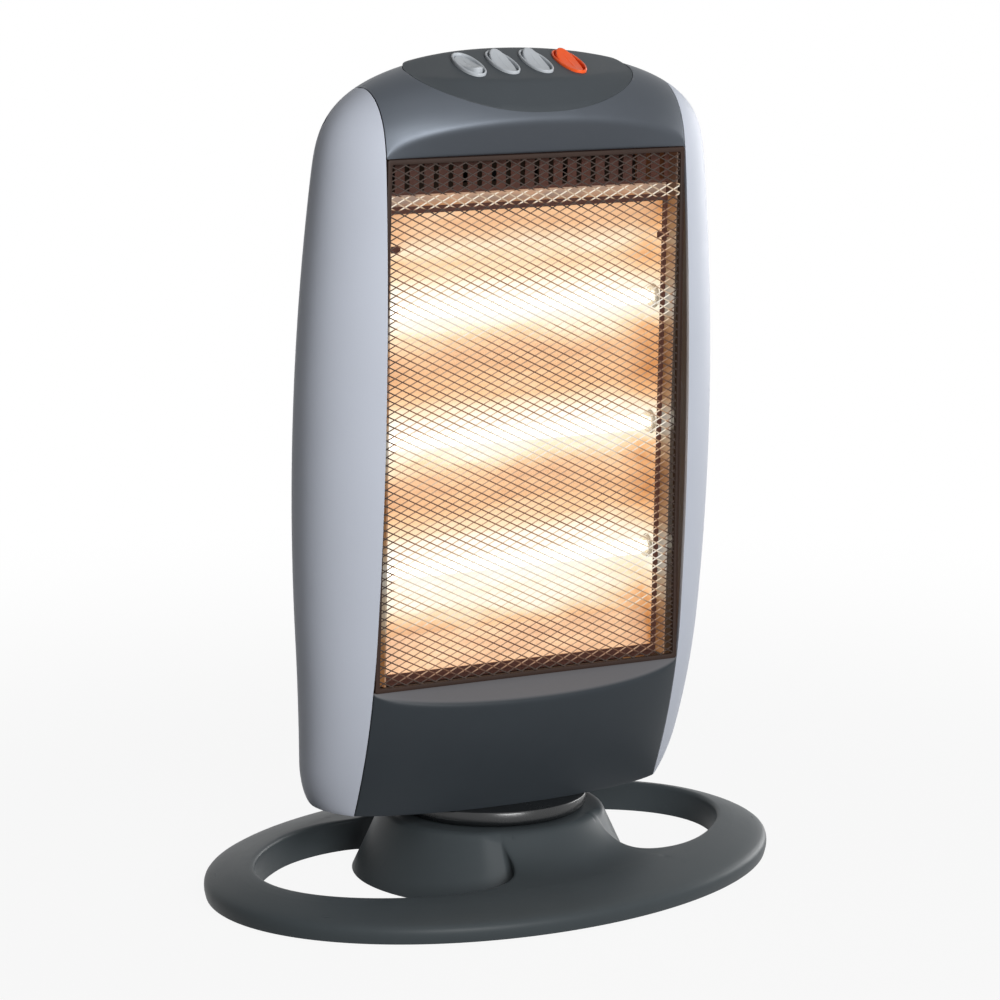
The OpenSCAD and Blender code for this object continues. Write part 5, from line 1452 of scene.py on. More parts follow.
line = reflector_line()
columns = np.linspace(-REFLECTOR_HALF_W + 0.1, REFLECTOR_HALF_W - 0.1, REFLECTOR_COLUMNS)
surface = np.stack(np.broadcast_arrays(columns[None, :], line[:, :1], line[:, 1:]), -1)
rear_side = surface - [0, 0, REFLECTOR_T]
reflector = shell("reflector_sheet", on_head(on_grille(surface)), on_head(on_grille(rear_side)))
dress(smooth(reflector, 25), "head", REFLECTOR_METAL, ["reflector"])

# %% [markdown]
# ## Halogen tubes
# A quartz tube is a lathe shape with pinched, sealed ends, and its filament is a fine coil. At work
# they are the brightest thing there is, so the glass is given a nearly white emission of its own.

# %% Shapes of tubes and filaments
TUBE_DEPTH, TUBE_R = CUSP_DEPTH + 3, 5.0
GLASS_HALF = REFLECTOR_HALF_W + 3
TUBE_STEPS = 40
# place from the tube's end and radius: the pinched seal, then the full tube
TUBE_END = [(0.0, 2.2), (0.5, 3.0), (5.0, 3.2), (8.0, 4.7), (10.0, TUBE_R)]
COIL_R, COIL_WIRE_R, COIL_TURNS, COIL_STEPS = 1.15, 0.16, 110, 10


def tube_rings(up):
    """Rings along the tube from a profile of (place, radius), the same at both ends."""
    profile = np.array([(x - GLASS_HALF, r) for x, r in TUBE_END]
                       + [(GLASS_HALF - x, r) for x, r in TUBE_END[::-1]])
    angle = np.linspace(0, 2 * np.pi, TUBE_STEPS, endpoint=False)
    x = np.broadcast_to(profile[:, :1], (len(profile), TUBE_STEPS))
    radius = profile[:, 1:]
    return np.stack([x, up + radius * np.cos(angle), radius * np.sin(angle) - TUBE_DEPTH], -1)


def coil_rings(up):
    """A helix along the tube with a square wire: rings of four points round the wire's middle."""
    half = GLASS_HALF - TUBE_END[-1][0]
    turn = np.linspace(0, COIL_TURNS, COIL_TURNS * COIL_STEPS + 1)
    a = 2 * np.pi * turn[:, None]
    b = np.pi / 2 * np.arange(4)[None, :]
    radius = COIL_R + COIL_WIRE_R * np.cos(b)
    x = -half + 2 * half * turn[:, None] / COIL_TURNS + COIL_WIRE_R * np.sin(b)
    return np.stack([x, up + radius * np.cos(a), -TUBE_DEPTH + radius * np.sin(a)], -1)


print("tubes", 2 * GLASS_HALF, "mm long")

# %% The tubes and their filaments
f = Finish("glowing_quartz")
streak = f.noise(18.0, detail=2.0)
QUARTZ = f.done(Base_Color=(0.95, 0.9, 0.8, 1.0), Roughness=streak * 0.05 + 0.08,
                Emission_Color=f.blend(streak, (1.0, 0.92, 0.74), (1.0, 0.99, 0.92)), Emission_Strength=1.1)
f = Finish("white_hot_tungsten")
TUNGSTEN = f.done(Base_Color=(0.8, 0.5, 0.3, 1.0), Roughness=f.noise(1.0) * 0.1 + 0.4,
                  Emission_Color=(1.0, 0.95, 0.8, 1.0), Emission_Strength=3.0)
for name, up in zip(("bottom", "middle", "top"), TUBES_UP):
    tube = loft("halogen_tube_" + name + "_glass", on_head(on_grille(tube_rings(up))))
    dress(smooth(tube), "head", QUARTZ, ["halogen_tube_" + name])
    coil = loft("filament_" + name + "_coil", on_head(on_grille(coil_rings(up))))
    dress(smooth(coil, 60), "head", TUNGSTEN, ["filament_" + name])

# %% [markdown]
# ## Base
# The base is an oval ring, a round hub and two bridges, moulded as one skin with a kidney-shaped
# opening on each side. One quarter is laid out in polar columns. Between the long axis and the end of
# the opening there is an inner sheet (the hub) and an outer sheet (the ring); beyond it they are one.

# %% Sizes of the base
BASE_A, BASE_B = 199.0, 144.5
RING_W_X, RING_W_Y = 28.8, 41.0
HUB_TOP_Z, HUB_R = 42.5, 70.0
BRIDGE_FOOT_Z = 2.0
HUB_EDGE_Z, HUB_EDGE_SLOPE = 39.0, 1.17
RING_EDGE_Z, RING_EDGE_SLOPE = 21.4, 0.1
SHOULDER = 6.0
BLEND_FROM, BLEND_TO = math.radians(44), math.radians(56)
# height of the ring's skin over its width, from the inner edge (1) to the lip (0)
RING_PROFILE = [(1.0, RING_EDGE_Z), (0.9, 21.2), (0.8, 20.7), (0.65, 19.6), (0.5, 18.2), (0.35, 16.6),
                (0.2, 14.8), (0.1, 13.3), (0.045, 12.1), (0.018, 10.9), (0.004, 9.4), (0.0, 7.8),
                (0.004, 5.5), (0.02, 3.2), (0.03, 2.0)]
HALF_WAY = 4
BASE_WALL = 2.2
print("base", 2 * BASE_A, "by", 2 * BASE_B, "mm")


# %% Heights of the skin
def ring_radius(angle, p):
    """Radius of the ring's ellipse at p of its width: 0 at the lip and 1 at the inner edge."""
    return 1 / np.sqrt((np.cos(angle) / (BASE_A - RING_W_X * p)) ** 2
                       + (np.sin(angle) / (BASE_B - RING_W_Y * p)) ** 2)


def smooth_step(v, low, high):
    """0 below low, 1 above high and the cubic 3t^2 - 2t^3 between."""
    t = np.clip((v - low) / (high - low), 0, 1)
    return t * t * (3 - 2 * t)


def bridge_z(r, angle):
    """Bridge height over a radius: a cubic from the ring's edge to the hub's, then round on to its top."""
    inner = ring_radius(angle, 1.0)
    span = inner - HUB_R
    u = np.clip((inner - r) / span, 0, 1)
    h00, h10 = 2 * u ** 3 - 3 * u ** 2 + 1, u ** 3 - 2 * u ** 2 + u
    h01, h11 = 3 * u ** 2 - 2 * u ** 3, u ** 3 - u ** 2
    slope = (RING_EDGE_Z * h00 + RING_EDGE_SLOPE * span * h10
             + HUB_EDGE_Z * h01 + HUB_EDGE_SLOPE * span * h11)
    t = np.clip((HUB_R - r) / SHOULDER, 0, 1)
    crown = HUB_TOP_Z - (HUB_TOP_Z - HUB_EDGE_Z) * (1 - t) ** 2
    return np.where(r < HUB_R, crown, slope)


def ring_z(r, angle):
    """Height of the ring at a radius between its inner edge and halfway out."""
    inner, outer = ring_radius(angle, 1.0), ring_radius(angle, 0.0)
    p = np.clip((outer - r) / (outer - inner), 0, 1)
    places, heights = np.array(RING_PROFILE[:HALF_WAY + 3])[::-1].T
    return np.interp(p, places, heights)


def inner_z(r, angle):
    """Top of the hub, flat towards the openings and falling into the bridges."""
    return HUB_TOP_Z - smooth_step(angle, BLEND_FROM, BLEND_TO) * (HUB_TOP_Z - bridge_z(r, angle))


def outer_z(r, angle):
    """Top outside the opening: the bridge within the ring's inner edge, and the ring beyond it."""
    return np.where(r < ring_radius(angle, 1.0), bridge_z(r, angle), ring_z(r, angle))


print("bridge", round(float(bridge_z(HUB_R, np.pi / 2)), 1), "mm high at the hub")

# %% [markdown]
# ## Openings of the base
# An opening's edge, its softened shoulder and the foot of its wall are three outlines of one family.
# Each is laid out as points, then read as radii over the angle, so the sheets and walls share columns.

# %% Outline of an opening
# top edge, shoulder's start and foot of an opening's wall: the hub's radius, the bridge's side, where
# that side starts to bend and its handle, the handle on the ring and how far outside the ring's edge
EDGE = (70.0, 40.0, 58.0, 88.0, 42.0, 0.0)
SHOULDER_LINE = (66.0, 37.0, 56.0, 89.5, 43.0, 3.0)
FOOT = (88.8, 41.0, 79.5, 86.0, 38.0, -1.0)
END_REACH = 72.0
MEETING_SOFTNESS, MEETING_ANGLE = 12.0, 0.15
ARC_POINTS, END_POINTS = 160, 300
OPENING_COLUMNS, BRIDGE_COLUMNS = 56, 12
SHOULDER_ROWS, WALL_ROWS = 8, 8


class Opening:
    """Outline of one quarter of an opening, as radii over an angle on its hub side and its ring side.

    The hub's circle meets the bridge's straight side, a cubic curve rounds the end, and the ring's
    ellipse leads back to the long axis."""

    def __init__(self, hub, line, bend, handle, far_handle, grow):
        a, b = BASE_A - RING_W_X + grow, BASE_B - RING_W_Y + grow
        corner_angle = math.atan2(bend, line)
        angle = np.linspace(0, corner_angle, ARC_POINTS)
        flat = line / np.cos(angle)
        softness = MEETING_SOFTNESS * np.clip((corner_angle - angle) / MEETING_ANGLE, 0, 1)
        radius = (hub + flat + np.sqrt((hub - flat) ** 2 + softness)) / 2
        hub_arc = np.stack([radius * np.cos(angle), radius * np.sin(angle)], -1)
        t = math.acos((line + END_REACH) / a)
        touch = np.array([a * math.cos(t), b * math.sin(t)])
        tangent = np.array([-a * math.sin(t), b * math.cos(t)])
        tangent /= np.linalg.norm(tangent)
        v = np.linspace(0, 1, END_POINTS)[:, None]
        end = ((1 - v) ** 3 * hub_arc[-1] + 3 * v * (1 - v) ** 2 * np.array([line, handle])
               + 3 * v ** 2 * (1 - v) * (touch + far_handle * tangent) + v ** 3 * touch)
        t = np.linspace(t, 0, ARC_POINTS)[1:]
        ring_arc = np.stack([a * np.cos(t), b * np.sin(t)], -1)
        outline = np.concatenate([hub_arc, end[1:], ring_arc])
        self.radius = np.linalg.norm(outline, axis=1)
        self.angle = np.arctan2(outline[:, 1], outline[:, 0])
        self.turn = int(np.argmax(self.angle))
        self.end, self.join_r = self.angle[self.turn], self.radius[self.turn]
        self.angles = self.end * np.sin(np.linspace(0, np.pi / 2, OPENING_COLUMNS + 1))

    def hub_side(self):
        """Radii of the hub's side over the opening's angles."""
        return np.interp(self.angles, self.angle[:self.turn + 1], self.radius[:self.turn + 1])

    def ring_side(self):
        """Radii of the ring's side over the opening's angles."""
        return np.interp(self.angles, self.angle[:self.turn - 1:-1], self.radius[:self.turn - 1:-1])


print("openings end at", round(math.degrees(Opening(*EDGE).end), 1), "degrees")

# %% [markdown]
# ## One quarter, four times
# The base is the same in all four quarters, so its sheets and walls are computed once and mirrored.
# Merging joins them along the axes, and the Solidify modifier gives the skin its wall.

# %% One quarter of the base
WALL_START = 3.2
HUB_BREAK, HUB_INNER_ROWS, HUB_OUTER_ROWS, RING_ROWS = 0.62, 6, 16, 14


def polar(r, angle, z):
    """Points from radius, angle and height."""
    r, angle, z = np.broadcast_arrays(r, angle, z)
    return np.stack([r * np.cos(angle), r * np.sin(angle), z], -1)


def wall_rows(shoulder, edge, foot):
    """From the sheet over the rounded edge and straight down to the foot, as rows of a strip."""
    down = foot - edge
    start = edge + down / np.linalg.norm(down, axis=-1, keepdims=True) * WALL_START
    v = np.linspace(0, 1, SHOULDER_ROWS)[:, None, None]
    bend = (1 - v) ** 2 * shoulder + 2 * v * (1 - v) * edge + v ** 2 * start
    v = np.linspace(0, 1, WALL_ROWS)[1:, None, None]
    return np.concatenate([bend, start + (foot - start) * v])


def base_quarter():
    """Sheets and wall of the quarter where x and y are positive, as a list of point grids."""
    edge, soft, foot = Opening(*EDGE), Opening(*SHOULDER_LINE), Opening(*FOOT)
    hub_r, ring_r = soft.hub_side(), soft.ring_side()
    beyond = soft.end + (np.pi / 2 - soft.end) * np.linspace(0, 1, BRIDGE_COLUMNS + 1)[1:]
    angle = np.concatenate([soft.angles, beyond])
    hub_r = np.concatenate([hub_r, np.full(BRIDGE_COLUMNS, soft.join_r)])
    ring_r = np.concatenate([ring_r, np.full(BRIDGE_COLUMNS, soft.join_r)])
    share = np.concatenate([np.linspace(0, HUB_BREAK, HUB_INNER_ROWS),
                            np.linspace(HUB_BREAK, 1, HUB_OUTER_ROWS)[1:]])[:, None]
    r = PIVOT_HOLE_R + (hub_r - PIVOT_HOLE_R) * share
    inner = polar(r, angle, inner_z(r, angle))
    half_way = ring_radius(angle, RING_PROFILE[HALF_WAY][0])
    r = ring_r + (half_way - ring_r) * np.linspace(0, 1, RING_ROWS)[:, None]
    rows = [polar(r, angle, outer_z(r, angle))]
    for p, z in RING_PROFILE[HALF_WAY + 1:]:
        rows.append(polar(ring_radius(angle, p), angle, np.full_like(angle, z))[None])
    walls = []
    for side in ("hub_side", "ring_side"):
        top, corner_r, low = (getattr(o, side)() for o in (soft, edge, foot))
        height = inner_z if side == "hub_side" else outer_z
        walls.append(wall_rows(polar(top, soft.angles, height(top, soft.angles)),
                               polar(corner_r, edge.angles, height(corner_r, edge.angles)),
                               polar(low, foot.angles, BRIDGE_FOOT_Z)))
    return [inner, np.concatenate(rows), *walls]


print("wall", WALL_ROWS, "rows, shoulder", SHOULDER_ROWS)

# %% The whole skin
PIVOT_HOLE_R = 6.2
SHAFT_AT, SHAFT_HOLE_R, SHAFT_FROM, SHAFT_TO = (0.0, 30.0), 4.5, 30, 50
SEAM_REACH = 1e-5
points, faces = [], []
for flip_x in (1, -1):
    for flip_y in (1, -1):
        for grid in base_quarter():
            shift = sum(len(p) for p in points)
            faces.append(grid_quads(*grid.shape[:2]) + shift)
            points.append(grid.reshape(-1, 3) * [flip_x, flip_y, 1])
base = merged(mesh_piece("base_skin", on_base(np.concatenate(points)), np.concatenate(faces)), SEAM_REACH)
wall = base.modifiers.new("wall", "SOLIDIFY")
wall.thickness = BASE_WALL * MM
wall.offset = -1.0
settled(base)
shaft_hole = cylinder_along(2, SHAFT_AT, SHAFT_HOLE_R, SHAFT_FROM, SHAFT_TO)
cut(base, loft("shaft_hole", on_base(shaft_hole)))
print("base skin", len(base.data.polygons), "faces")

# %% [markdown]
# ## Feet
# Eight rubber feet sit on posts under the ring. Posts and feet are lathe shapes, rings about an upright
# axis, and the rubber is matt and nearly black.

# %% Posts and feet
FOOT_ANGLES = np.radians([25, 65, 115, 155, 205, 245, 295, 335])
FOOT_R, FOOT_T, POST_TOP = 8.0, 2.0, 15.2
POST_RING = [(FOOT_R + 1, FOOT_T), (FOOT_R + 1, POST_TOP)]
FOOT_PROFILE = [(6.9, 0.0), (7.6, 0.15), (8.0, 0.6), (8.0, FOOT_T)]


def lathe(profile, centre=(0.0, 0.0), steps=64):
    """Rings about an upright axis from a profile of (radius, height)."""
    angle = np.linspace(0, 2 * np.pi, steps, endpoint=False)
    return np.stack([np.stack([centre[0] + r * np.cos(angle), centre[1] + r * np.sin(angle),
                               np.full(steps, z)], -1) for r, z in profile])


foot_at = np.stack([(BASE_A - RING_W_X / 2) * np.cos(FOOT_ANGLES),
                    (BASE_B - RING_W_Y / 2) * np.sin(FOOT_ANGLES)], -1)
posts = [loft("post", on_base(lathe(POST_RING, c, 40))) for c in foot_at]
base = joined("base_moulding_skin", [base] + posts)
dress(smooth(base, 50), "base", BASE_PLASTIC, ["base_moulding"])
feet = joined("rubber_feet", [loft("foot", on_base(lathe(FOOT_PROFILE, c, 40))) for c in foot_at])
f = Finish("black_rubber")
RUBBER = f.done(Base_Color=(0.012, 0.012, 0.013, 1.0), Roughness=f.noise(2.0) * 0.15 + 0.7,
                Normal=f.bump(f.noise(0.4), 0.02))
dress(smooth(feet, 50), "base", RUBBER, ["base_feet"])

# %% [markdown]
# ## Turntable
# A polished black collar carries the head over the hub. It is one closed lathe profile: the bush round
# the pivot, the roof, and a skirt with a rounded foot. The crank's pin runs in a slot through its roof.

# %% Turntable
TABLE_R, SKIRT_Z, TABLE_ROUND = 60.0, HUB_TOP_Z + 1, 3.5
ROOF_Z, BOSS_R, BUSH_R, SKIRT_T = HEAD_FOOT - 4, 9.4, 7.5, 4.5
SLOT_HALF_W, CRANK_THROW = 5.0, 15.0
turn = np.linspace(0, np.pi / 2, 8)
foot_curve = [(TABLE_R - TABLE_ROUND * (1 - math.sin(t)), SKIRT_Z + TABLE_ROUND * (1 - math.cos(t)))
              for t in turn]
profile = [(BUSH_R, HEAD_FOOT), (BUSH_R, SKIRT_Z), (BOSS_R, SKIRT_Z), (BOSS_R, ROOF_Z),
           (TABLE_R - SKIRT_T, ROOF_Z), (TABLE_R - SKIRT_T, SKIRT_Z + 0.4),
           (TABLE_R - SKIRT_T + 0.3, SKIRT_Z)] + foot_curve
profile += [(TABLE_R, HEAD_FOOT - 1.2), (TABLE_R - 0.4, HEAD_FOOT - 0.4), (TABLE_R - 1.2, HEAD_FOOT),
            (BUSH_R, HEAD_FOOT)]
table = loft("turntable_ring", on_head(lathe(profile, steps=128)), cap_start=False, cap_end=False)
slot_ring = round_rectangle(2 * SLOT_HALF_W, 2 * (CRANK_THROW + SLOT_HALF_W), SLOT_HALF_W - 0.01, 10)
slot_ring = np.concatenate([slot_ring + [0, SHAFT_AT[1]], np.full((len(slot_ring), 1), ROOF_Z - 2)], 1)
cut(table, loft("slot", on_head(np.stack([slot_ring, slot_ring + [0, 0, 8]]))))
dress(smooth(table, 40), "head", GLOSS_BLACK, ["turntable"])

# %% [markdown]
# ## Screws
# The screws that show are pan heads: a lathe shape with a cross cut into its crown. Each cross is turned
# by another angle, as no two screws stop at the same place.

# %% Shapes of a pan-head screw
SCREW_STEPS = 32
CROWN_STEPS = 8


def pan_head(radius, height, shank_r, shank):
    """Profile of (radius, height over the seat) of a domed head and its shank."""
    dome_line = [(radius, 0.0), (radius, 0.35 * height)]
    for t in np.linspace(0.15, 1, CROWN_STEPS):
        angle = t * np.pi / 2
        dome_line.append((max(radius * math.cos(angle), 0.02), height * (0.35 + 0.65 * math.sin(angle))))
    return [(shank_r, -shank), (shank_r, 0.0)] + dome_line


def turned_rings(profile, steps=SCREW_STEPS):
    """Rings about the +Z axis."""
    angle = np.linspace(0, 2 * np.pi, steps, endpoint=False)
    return np.stack([np.stack([r * np.cos(angle), r * np.sin(angle), np.full(steps, z)], -1)
                     for r, z in profile])


def aimed(points, seat, axis):
    """Local points with Z out of the seat turned so that Z lies along a head axis, in the head's frame."""
    axis = np.asarray(axis, float)
    side = np.array([0.0, 0.0, 1.0]) if abs(axis[2]) < 0.9 else np.array([1.0, 0.0, 0.0])
    u = np.cross(side, axis)
    v = np.cross(axis, u)
    p = np.asarray(points, float)
    return np.asarray(seat) + p[..., :1] * u + p[..., 1:2] * v + p[..., 2:] * axis


print("a screw head has", SCREW_STEPS, "sides")


# %% A screw with its cross
# a blade's height, half length and half width at its tip and mouth, as shares of the head's
CROSS_BLADE = [(0.3, 0.3, 0.1), (1.4, 0.72, 0.15)]


def cross_cutter(radius, height, seat, axis, turn):
    """A cross of two thin tapering blades that is pressed into a screw's crown."""
    blades = []
    for quarter in (0, 1):
        outline = []
        for share, half_len, half_w in CROSS_BLADE:
            ring = np.array([(1, 1), (-1, 1), (-1, -1), (1, -1)]) * [half_len * radius, half_w * radius]
            a = turn + quarter * np.pi / 2
            ring = ring @ np.array([[math.cos(a), math.sin(a)], [-math.sin(a), math.cos(a)]])
            outline.append(np.concatenate([ring, np.full((4, 1), share * height)], 1))
        blades.append(loft("blade", on_head(aimed(np.array(outline), seat, axis))))
    return merged(joined("cross", blades), 1e-7)


def screw(radius, height, shank_r, shank, seat, axis, turn):
    """A pan head on its shank, with the cross cut in."""
    rings = turned_rings(pan_head(radius, height, shank_r, shank))
    head = loft("screw", on_head(aimed(rings, seat, axis)))
    return cut(head, cross_cutter(radius, height, seat, axis, turn))


def plated(name, color, roughness=0.3):
    """Zinc-plated steel: metallic, with fine wear and uneven gloss."""
    f = Finish(name)
    wear = f.noise(3.0, detail=4.0)
    fine = f.noise(0.3, detail=2.0)
    worn = [c * 0.72 for c in color]
    return f.done(Base_Color=f.blend(wear, worn, color), Metallic=0.95,
                  Roughness=wear * 0.2 + fine * 0.08 + roughness - 0.1, Normal=f.bump(fine, 0.006))


print("a cross has", 2 * len(CROSS_BLADE), "rings")

# %% The screws that show
SCREW_STEEL = plated("plated_screw_steel", (0.50, 0.51, 0.53))
ZINC_STEEL = plated("plated_bracket_steel", (0.55, 0.56, 0.58), 0.35)
REAR_HEAD_R, REAR_HEAD_T, REAR_SHANK_R, REAR_SHANK = 3.6, 1.8, 1.5, 8.0
rear_screws = []
for z in REAR_SCREW_Z:
    seat_y = float(rear_y(REAR_SCREW_X, z)) - SEAT_DEPTH
    for s in (-1, 1):
        rear_screws.append(screw(REAR_HEAD_R, REAR_HEAD_T, REAR_SHANK_R, REAR_SHANK,
                                 (s * REAR_SCREW_X, seat_y, z), (0, 1, 0), 0.4 + z * 0.13 + s))
screws = joined("rear_cover_pan_screws", rear_screws)
dress(smooth(screws, 40), "head", SCREW_STEEL, ["rear_cover_screws"])
SIDE_HEAD_R, SIDE_HEAD_T, SIDE_SHANK_R, SIDE_SHANK = 3.1, 2.4, 1.8, 6.0
side_screws = [screw(SIDE_HEAD_R, SIDE_HEAD_T, SIDE_SHANK_R, SIDE_SHANK,
                     (s * SCREW_SEAT_X, SCREW_Y, SCREW_Z), (s, 0, 0), 0.5 + s) for s in (-1, 1)]
dress(smooth(joined("side_panel_pan_screws", side_screws), 40), "head", SCREW_STEEL,
      ["side_panel_screws"])

# %% [markdown]
# ## Cord gland
# The gland keeps the cord from bending sharply where it leaves the back. It is a lathe shape: a plug in
# the wall, a flange on it, and a collar of shrinking rings that can flex.

# %% Cord gland
GLAND_SEAT, GLAND_LEN, CORD_R = 7.0, 14.0, 3.6
COLLAR_RINGS, RING_SHRINK, RING_PITCH = 4, 0.45, 1.1
gland_line = [(CORD_R, 0), (GLAND_R - 0.1, 0), (GLAND_R - 0.1, GLAND_SEAT + 0.1),
              (GLAND_R + 2.4, GLAND_SEAT + 0.1), (GLAND_R + 2.6, GLAND_SEAT + 0.5),
              (GLAND_R + 2.5, GLAND_SEAT + 1.6), (GLAND_R + 1.9, GLAND_SEAT + 2.2)]
for i in range(COLLAR_RINGS):
    shrink = RING_SHRINK * (i + 1)
    out = GLAND_SEAT + 2.4 + i * RING_PITCH
    gland_line += [(GLAND_R - 0.2 - shrink, out), (GLAND_R + 0.5 - shrink, out + 0.3),
                   (GLAND_R + 0.4 - shrink, out + 0.8)]
gland_line += [(GLAND_R - 2.2, GLAND_LEN - 0.2), (GLAND_R - 2.8, GLAND_LEN), (CORD_R + 0.3, GLAND_LEN),
               (CORD_R, GLAND_LEN - 0.4), (CORD_R, 0)]
gland_seat = (0.0, float(rear_y(0.0, GLAND_Z)) - GLAND_SEAT, GLAND_Z)
gland = loft("gland", on_head(aimed(turned_rings(gland_line, 48), gland_seat, (0, 1, 0))), False, False)
dress(smooth(gland, 50), "head", RUBBER, ["cord_gland"])

# %% [markdown]
# ## Finishes of what the frame brings
# The inner works keep their exact solids. Each gets a finish of its own kind: plated steel, a drawn
# motor can, glazed ceramic, nylon, phenolic switch black. The record says which node takes which slot.

# %% Two-tone finishes
def flecked(name, color, second, size, gloss, metallic=0.0, relief=0.01):
    """A two-tone finish: colour flecks of a given size, gloss that follows them, and a light relief."""
    f = Finish(name)
    flecks = f.noise(size, detail=4.0, roughness=0.6)
    fine = f.noise(size * 0.12, detail=2.0)
    return f.done(Base_Color=f.blend(flecks, color, second), Metallic=metallic, Specular_IOR_Level=0.3,
                  Roughness=flecks * 0.12 + fine * 0.06 + gloss - 0.09, Normal=f.bump(fine, relief))


ALUMINIUM = flecked("heat_dulled_aluminium", (0.16, 0.13, 0.11), (0.24, 0.21, 0.19), 12.0, 0.5, 0.7)
CARRIED = {
    "base_plastic": BASE_PLASTIC, "dark_plastic": DARK_PLASTIC, "zinc_steel": ZINC_STEEL,
    "screw_steel": SCREW_STEEL, "grille_steel": FRAME_ENAMEL,
    "bright_aluminium": ALUMINIUM,
    "motor_can": flecked("drawn_motor_can", (0.42, 0.43, 0.44), (0.52, 0.52, 0.53), 8.0, 0.34, 0.9),
    "ceramic": flecked("glazed_ceramic", (0.66, 0.62, 0.53), (0.75, 0.72, 0.64), 5.0, 0.3),
    "nylon": flecked("natural_nylon", (0.70, 0.68, 0.60), (0.78, 0.76, 0.70), 9.0, 0.45),
    "switch_black": flecked("phenolic_black", (0.010, 0.010, 0.011), (0.020, 0.019, 0.018), 3.0, 0.4),
    "plunger_red": flecked("red_plunger_plastic", (0.45, 0.030, 0.022), (0.58, 0.045, 0.033), 4.0, 0.4),
    "black_rubber": RUBBER,
}
# the reflector's ends and the chassis get finishes with painted glow
NEAR_THE_HEAT = {
    "reflector_end_left": REFLECTOR_METAL, "reflector_end_right": REFLECTOR_METAL,
    "heat_shield": flecked("sooted_shield_steel", (0.004, 0.003, 0.003), (0.010, 0.007, 0.006), 10.0, 0.75),
}
# the chassis's emission is painted glow from the tubes, none above the window's top
for side in PANEL_MIRROR:
    NEAR_THE_HEAT["chassis_" + side] = glowing("browned_" + side + "_chassis", (0.20, 0.15, 0.12), 0.3,
                                               GLOW_STOPS, 0.5, painted_glow_at=under_slots)
print("slots", len(CARRIED))

# %% Dressing what still shows
shown = {o.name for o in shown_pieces()}
for part in frame["record"]["subparts"]:
    node, slot = part["node"], part["material_slot"]
    if node in shown:
        mesh = frame["nodes"][node].data
        mesh.materials.clear()
        mesh.materials.append(NEAR_THE_HEAT.get(node, CARRIED[slot]))
        print(node, mesh.materials[0].name)

# %% [markdown]
# ## Stage
# The heater stands on a plain pale floor in soft studio light. The sky gives a little light from all
# round, and pure white to rays that look straight past the object. The floor is white in the same way
# but lets the object's shadow through, so the heater stays grounded.

# %% Sky
scene = bpy.context.scene
scene.view_settings.view_transform = "Standard"


def path_is(tree, *names):
    """1 where the ray is of one of the kinds named, such as Is Camera Ray."""
    rays = tree.nodes.new("ShaderNodeLightPath")
    total = Field(tree, rays.outputs[names[0]])
    for name in names[1:]:
        total = total.maths("MAXIMUM", rays.outputs[name])
    return total


world = bpy.data.worlds.new("studio")
scene.world = world
world.use_nodes = True
tree = world.node_tree
tree.nodes.clear()
seen = path_is(tree, "Is Camera Ray", "Is Glossy Ray", "Is Transmission Ray")
SKY_LIGHT = 0.03
sky = add_node(tree, "ShaderNodeBackground", {}, {"Color": (1.0, 1.0, 1.0, 1.0),
                                                  "Strength": seen * (1.0 - SKY_LIGHT) + SKY_LIGHT})
add_node(tree, "ShaderNodeOutputWorld", {}, {"Surface": sky.outputs[0]})
print("sky light", SKY_LIGHT)

# %% [markdown]
# ## Lamps
# The main light stands in front and a little above, so the front is even and the rear of the sides
# falls off. A weaker one behind on the right lifts that edge, a small one puts a glint on the collar,
# and a faint one from above opens the key panel. Square area lamps keep every shadow soft.

# %% Lamps
AIM = Vector((0.0, 0.0, 0.25))
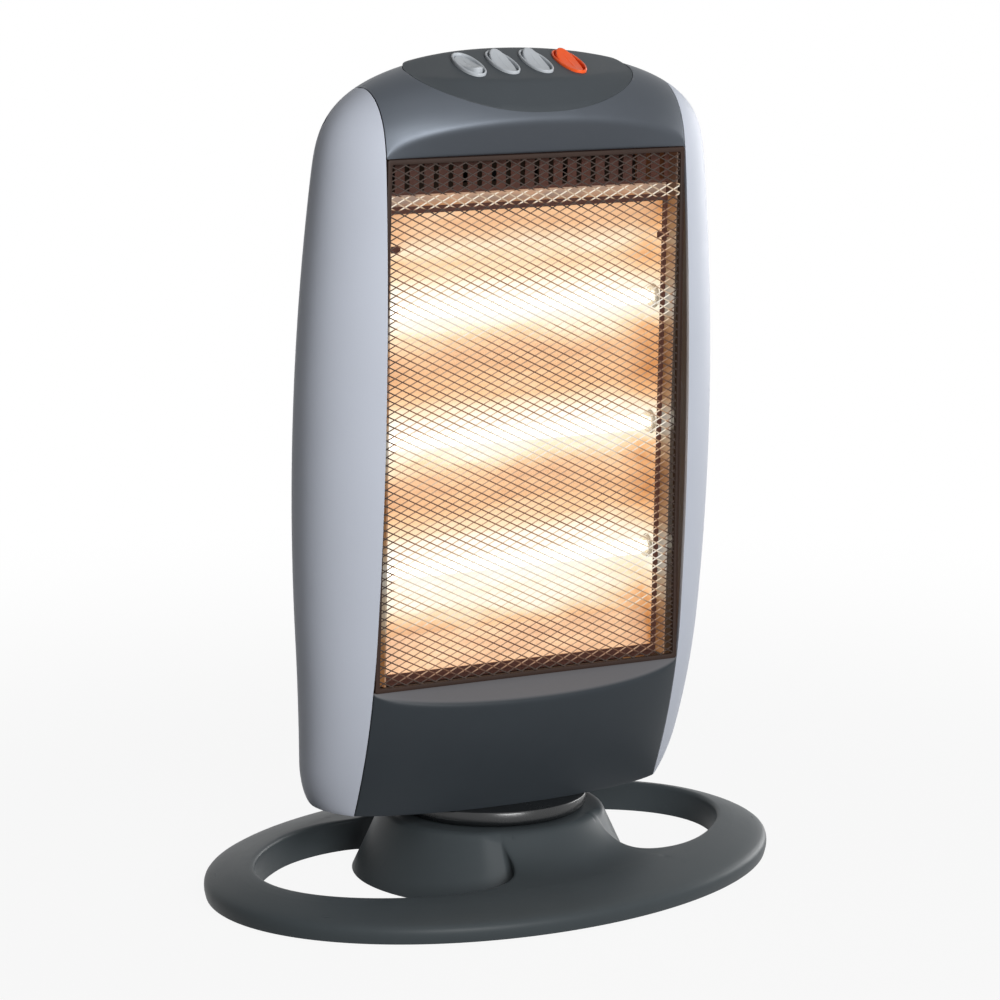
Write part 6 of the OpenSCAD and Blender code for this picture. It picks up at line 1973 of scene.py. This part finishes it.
# name, azimuth and elevation in degrees, distance, size and power: azimuth 0 is in front, 90 to the right
LAMPS = [("key", -16, 21, 2.8, 1.2, 73.0), ("rim", 100, 10, 2.8, 1.2, 30.0),
         ("glint", 78, 12, 2.8, 0.4, 8.0), ("top", -10, 65, 2.4, 1.6, 6.0)]
for name, azimuth, elevation, distance, size, power in LAMPS:
    a, e = math.radians(azimuth), math.radians(elevation)
    place = distance * Vector((math.sin(a) * math.cos(e), -math.cos(a) * math.cos(e), math.sin(e)))
    data = bpy.data.lights.new(name, "AREA")
    data.shape = "SQUARE"
    data.size = size
    data.energy = power
    lamp = bpy.data.objects.new(name, data)
    lamp.location = place
    lamp.rotation_euler = (AIM - place).to_track_quat("-Z", "Y").to_euler()
    scene.collection.objects.link(lamp)
    print("lamp", name, power, "W")

# %% [markdown]
# ## Floor
# The floor mixes a grey that takes shadows with a white that is seen but lights nothing. The white's
# share grows with the distance, so the floor runs into the background without a line.

# %% Floor
FLOOR_HALF = 60.0
FLOOR_GREY = 0.3
WHITE_NEAR, WHITE_FAR = 0.92, 1.0
FADE_FROM, FADE_TO = 0.3, 1.2
FLOOR_Z = -0.0004
corners = [(-FLOOR_HALF, -FLOOR_HALF, FLOOR_Z), (FLOOR_HALF, -FLOOR_HALF, FLOOR_Z),
           (FLOOR_HALF, FLOOR_HALF, FLOOR_Z), (-FLOOR_HALF, FLOOR_HALF, FLOOR_Z)]
floor = mesh_piece("studio_floor", corners, [(0, 1, 2, 3)])
material = bpy.data.materials.new("studio_floor_white")
material.use_nodes = True
tree = material.node_tree
tree.nodes.clear()
diffuse = add_node(tree, "ShaderNodeBsdfDiffuse", {}, {"Color": (FLOOR_GREY, FLOOR_GREY, FLOOR_GREY, 1.0)})
white = add_node(tree, "ShaderNodeEmission", {}, {"Color": (1.0, 1.0, 1.0, 1.0), "Strength": 1.0})
seen = path_is(tree, "Is Camera Ray", "Is Glossy Ray", "Is Transmission Ray")
place = add_node(tree, "ShaderNodeTexCoord").outputs["Object"]
away = add_node(tree, "ShaderNodeVectorMath", {"operation": "LENGTH"}, {0: place})
far = Field(tree, away.outputs["Value"]).step(FADE_FROM, FADE_TO)
share = seen * (far * (WHITE_FAR - WHITE_NEAR) + WHITE_NEAR)
mix = add_node(tree, "ShaderNodeMixShader", {}, {0: share, 1: diffuse.outputs[0], 2: white.outputs[0]})
add_node(tree, "ShaderNodeOutputMaterial", {}, {"Surface": mix.outputs[0]})
floor.data.materials.append(material)
print("floor", 2 * FLOOR_HALF, "m wide")

# %% [markdown] The looks must not change the size.
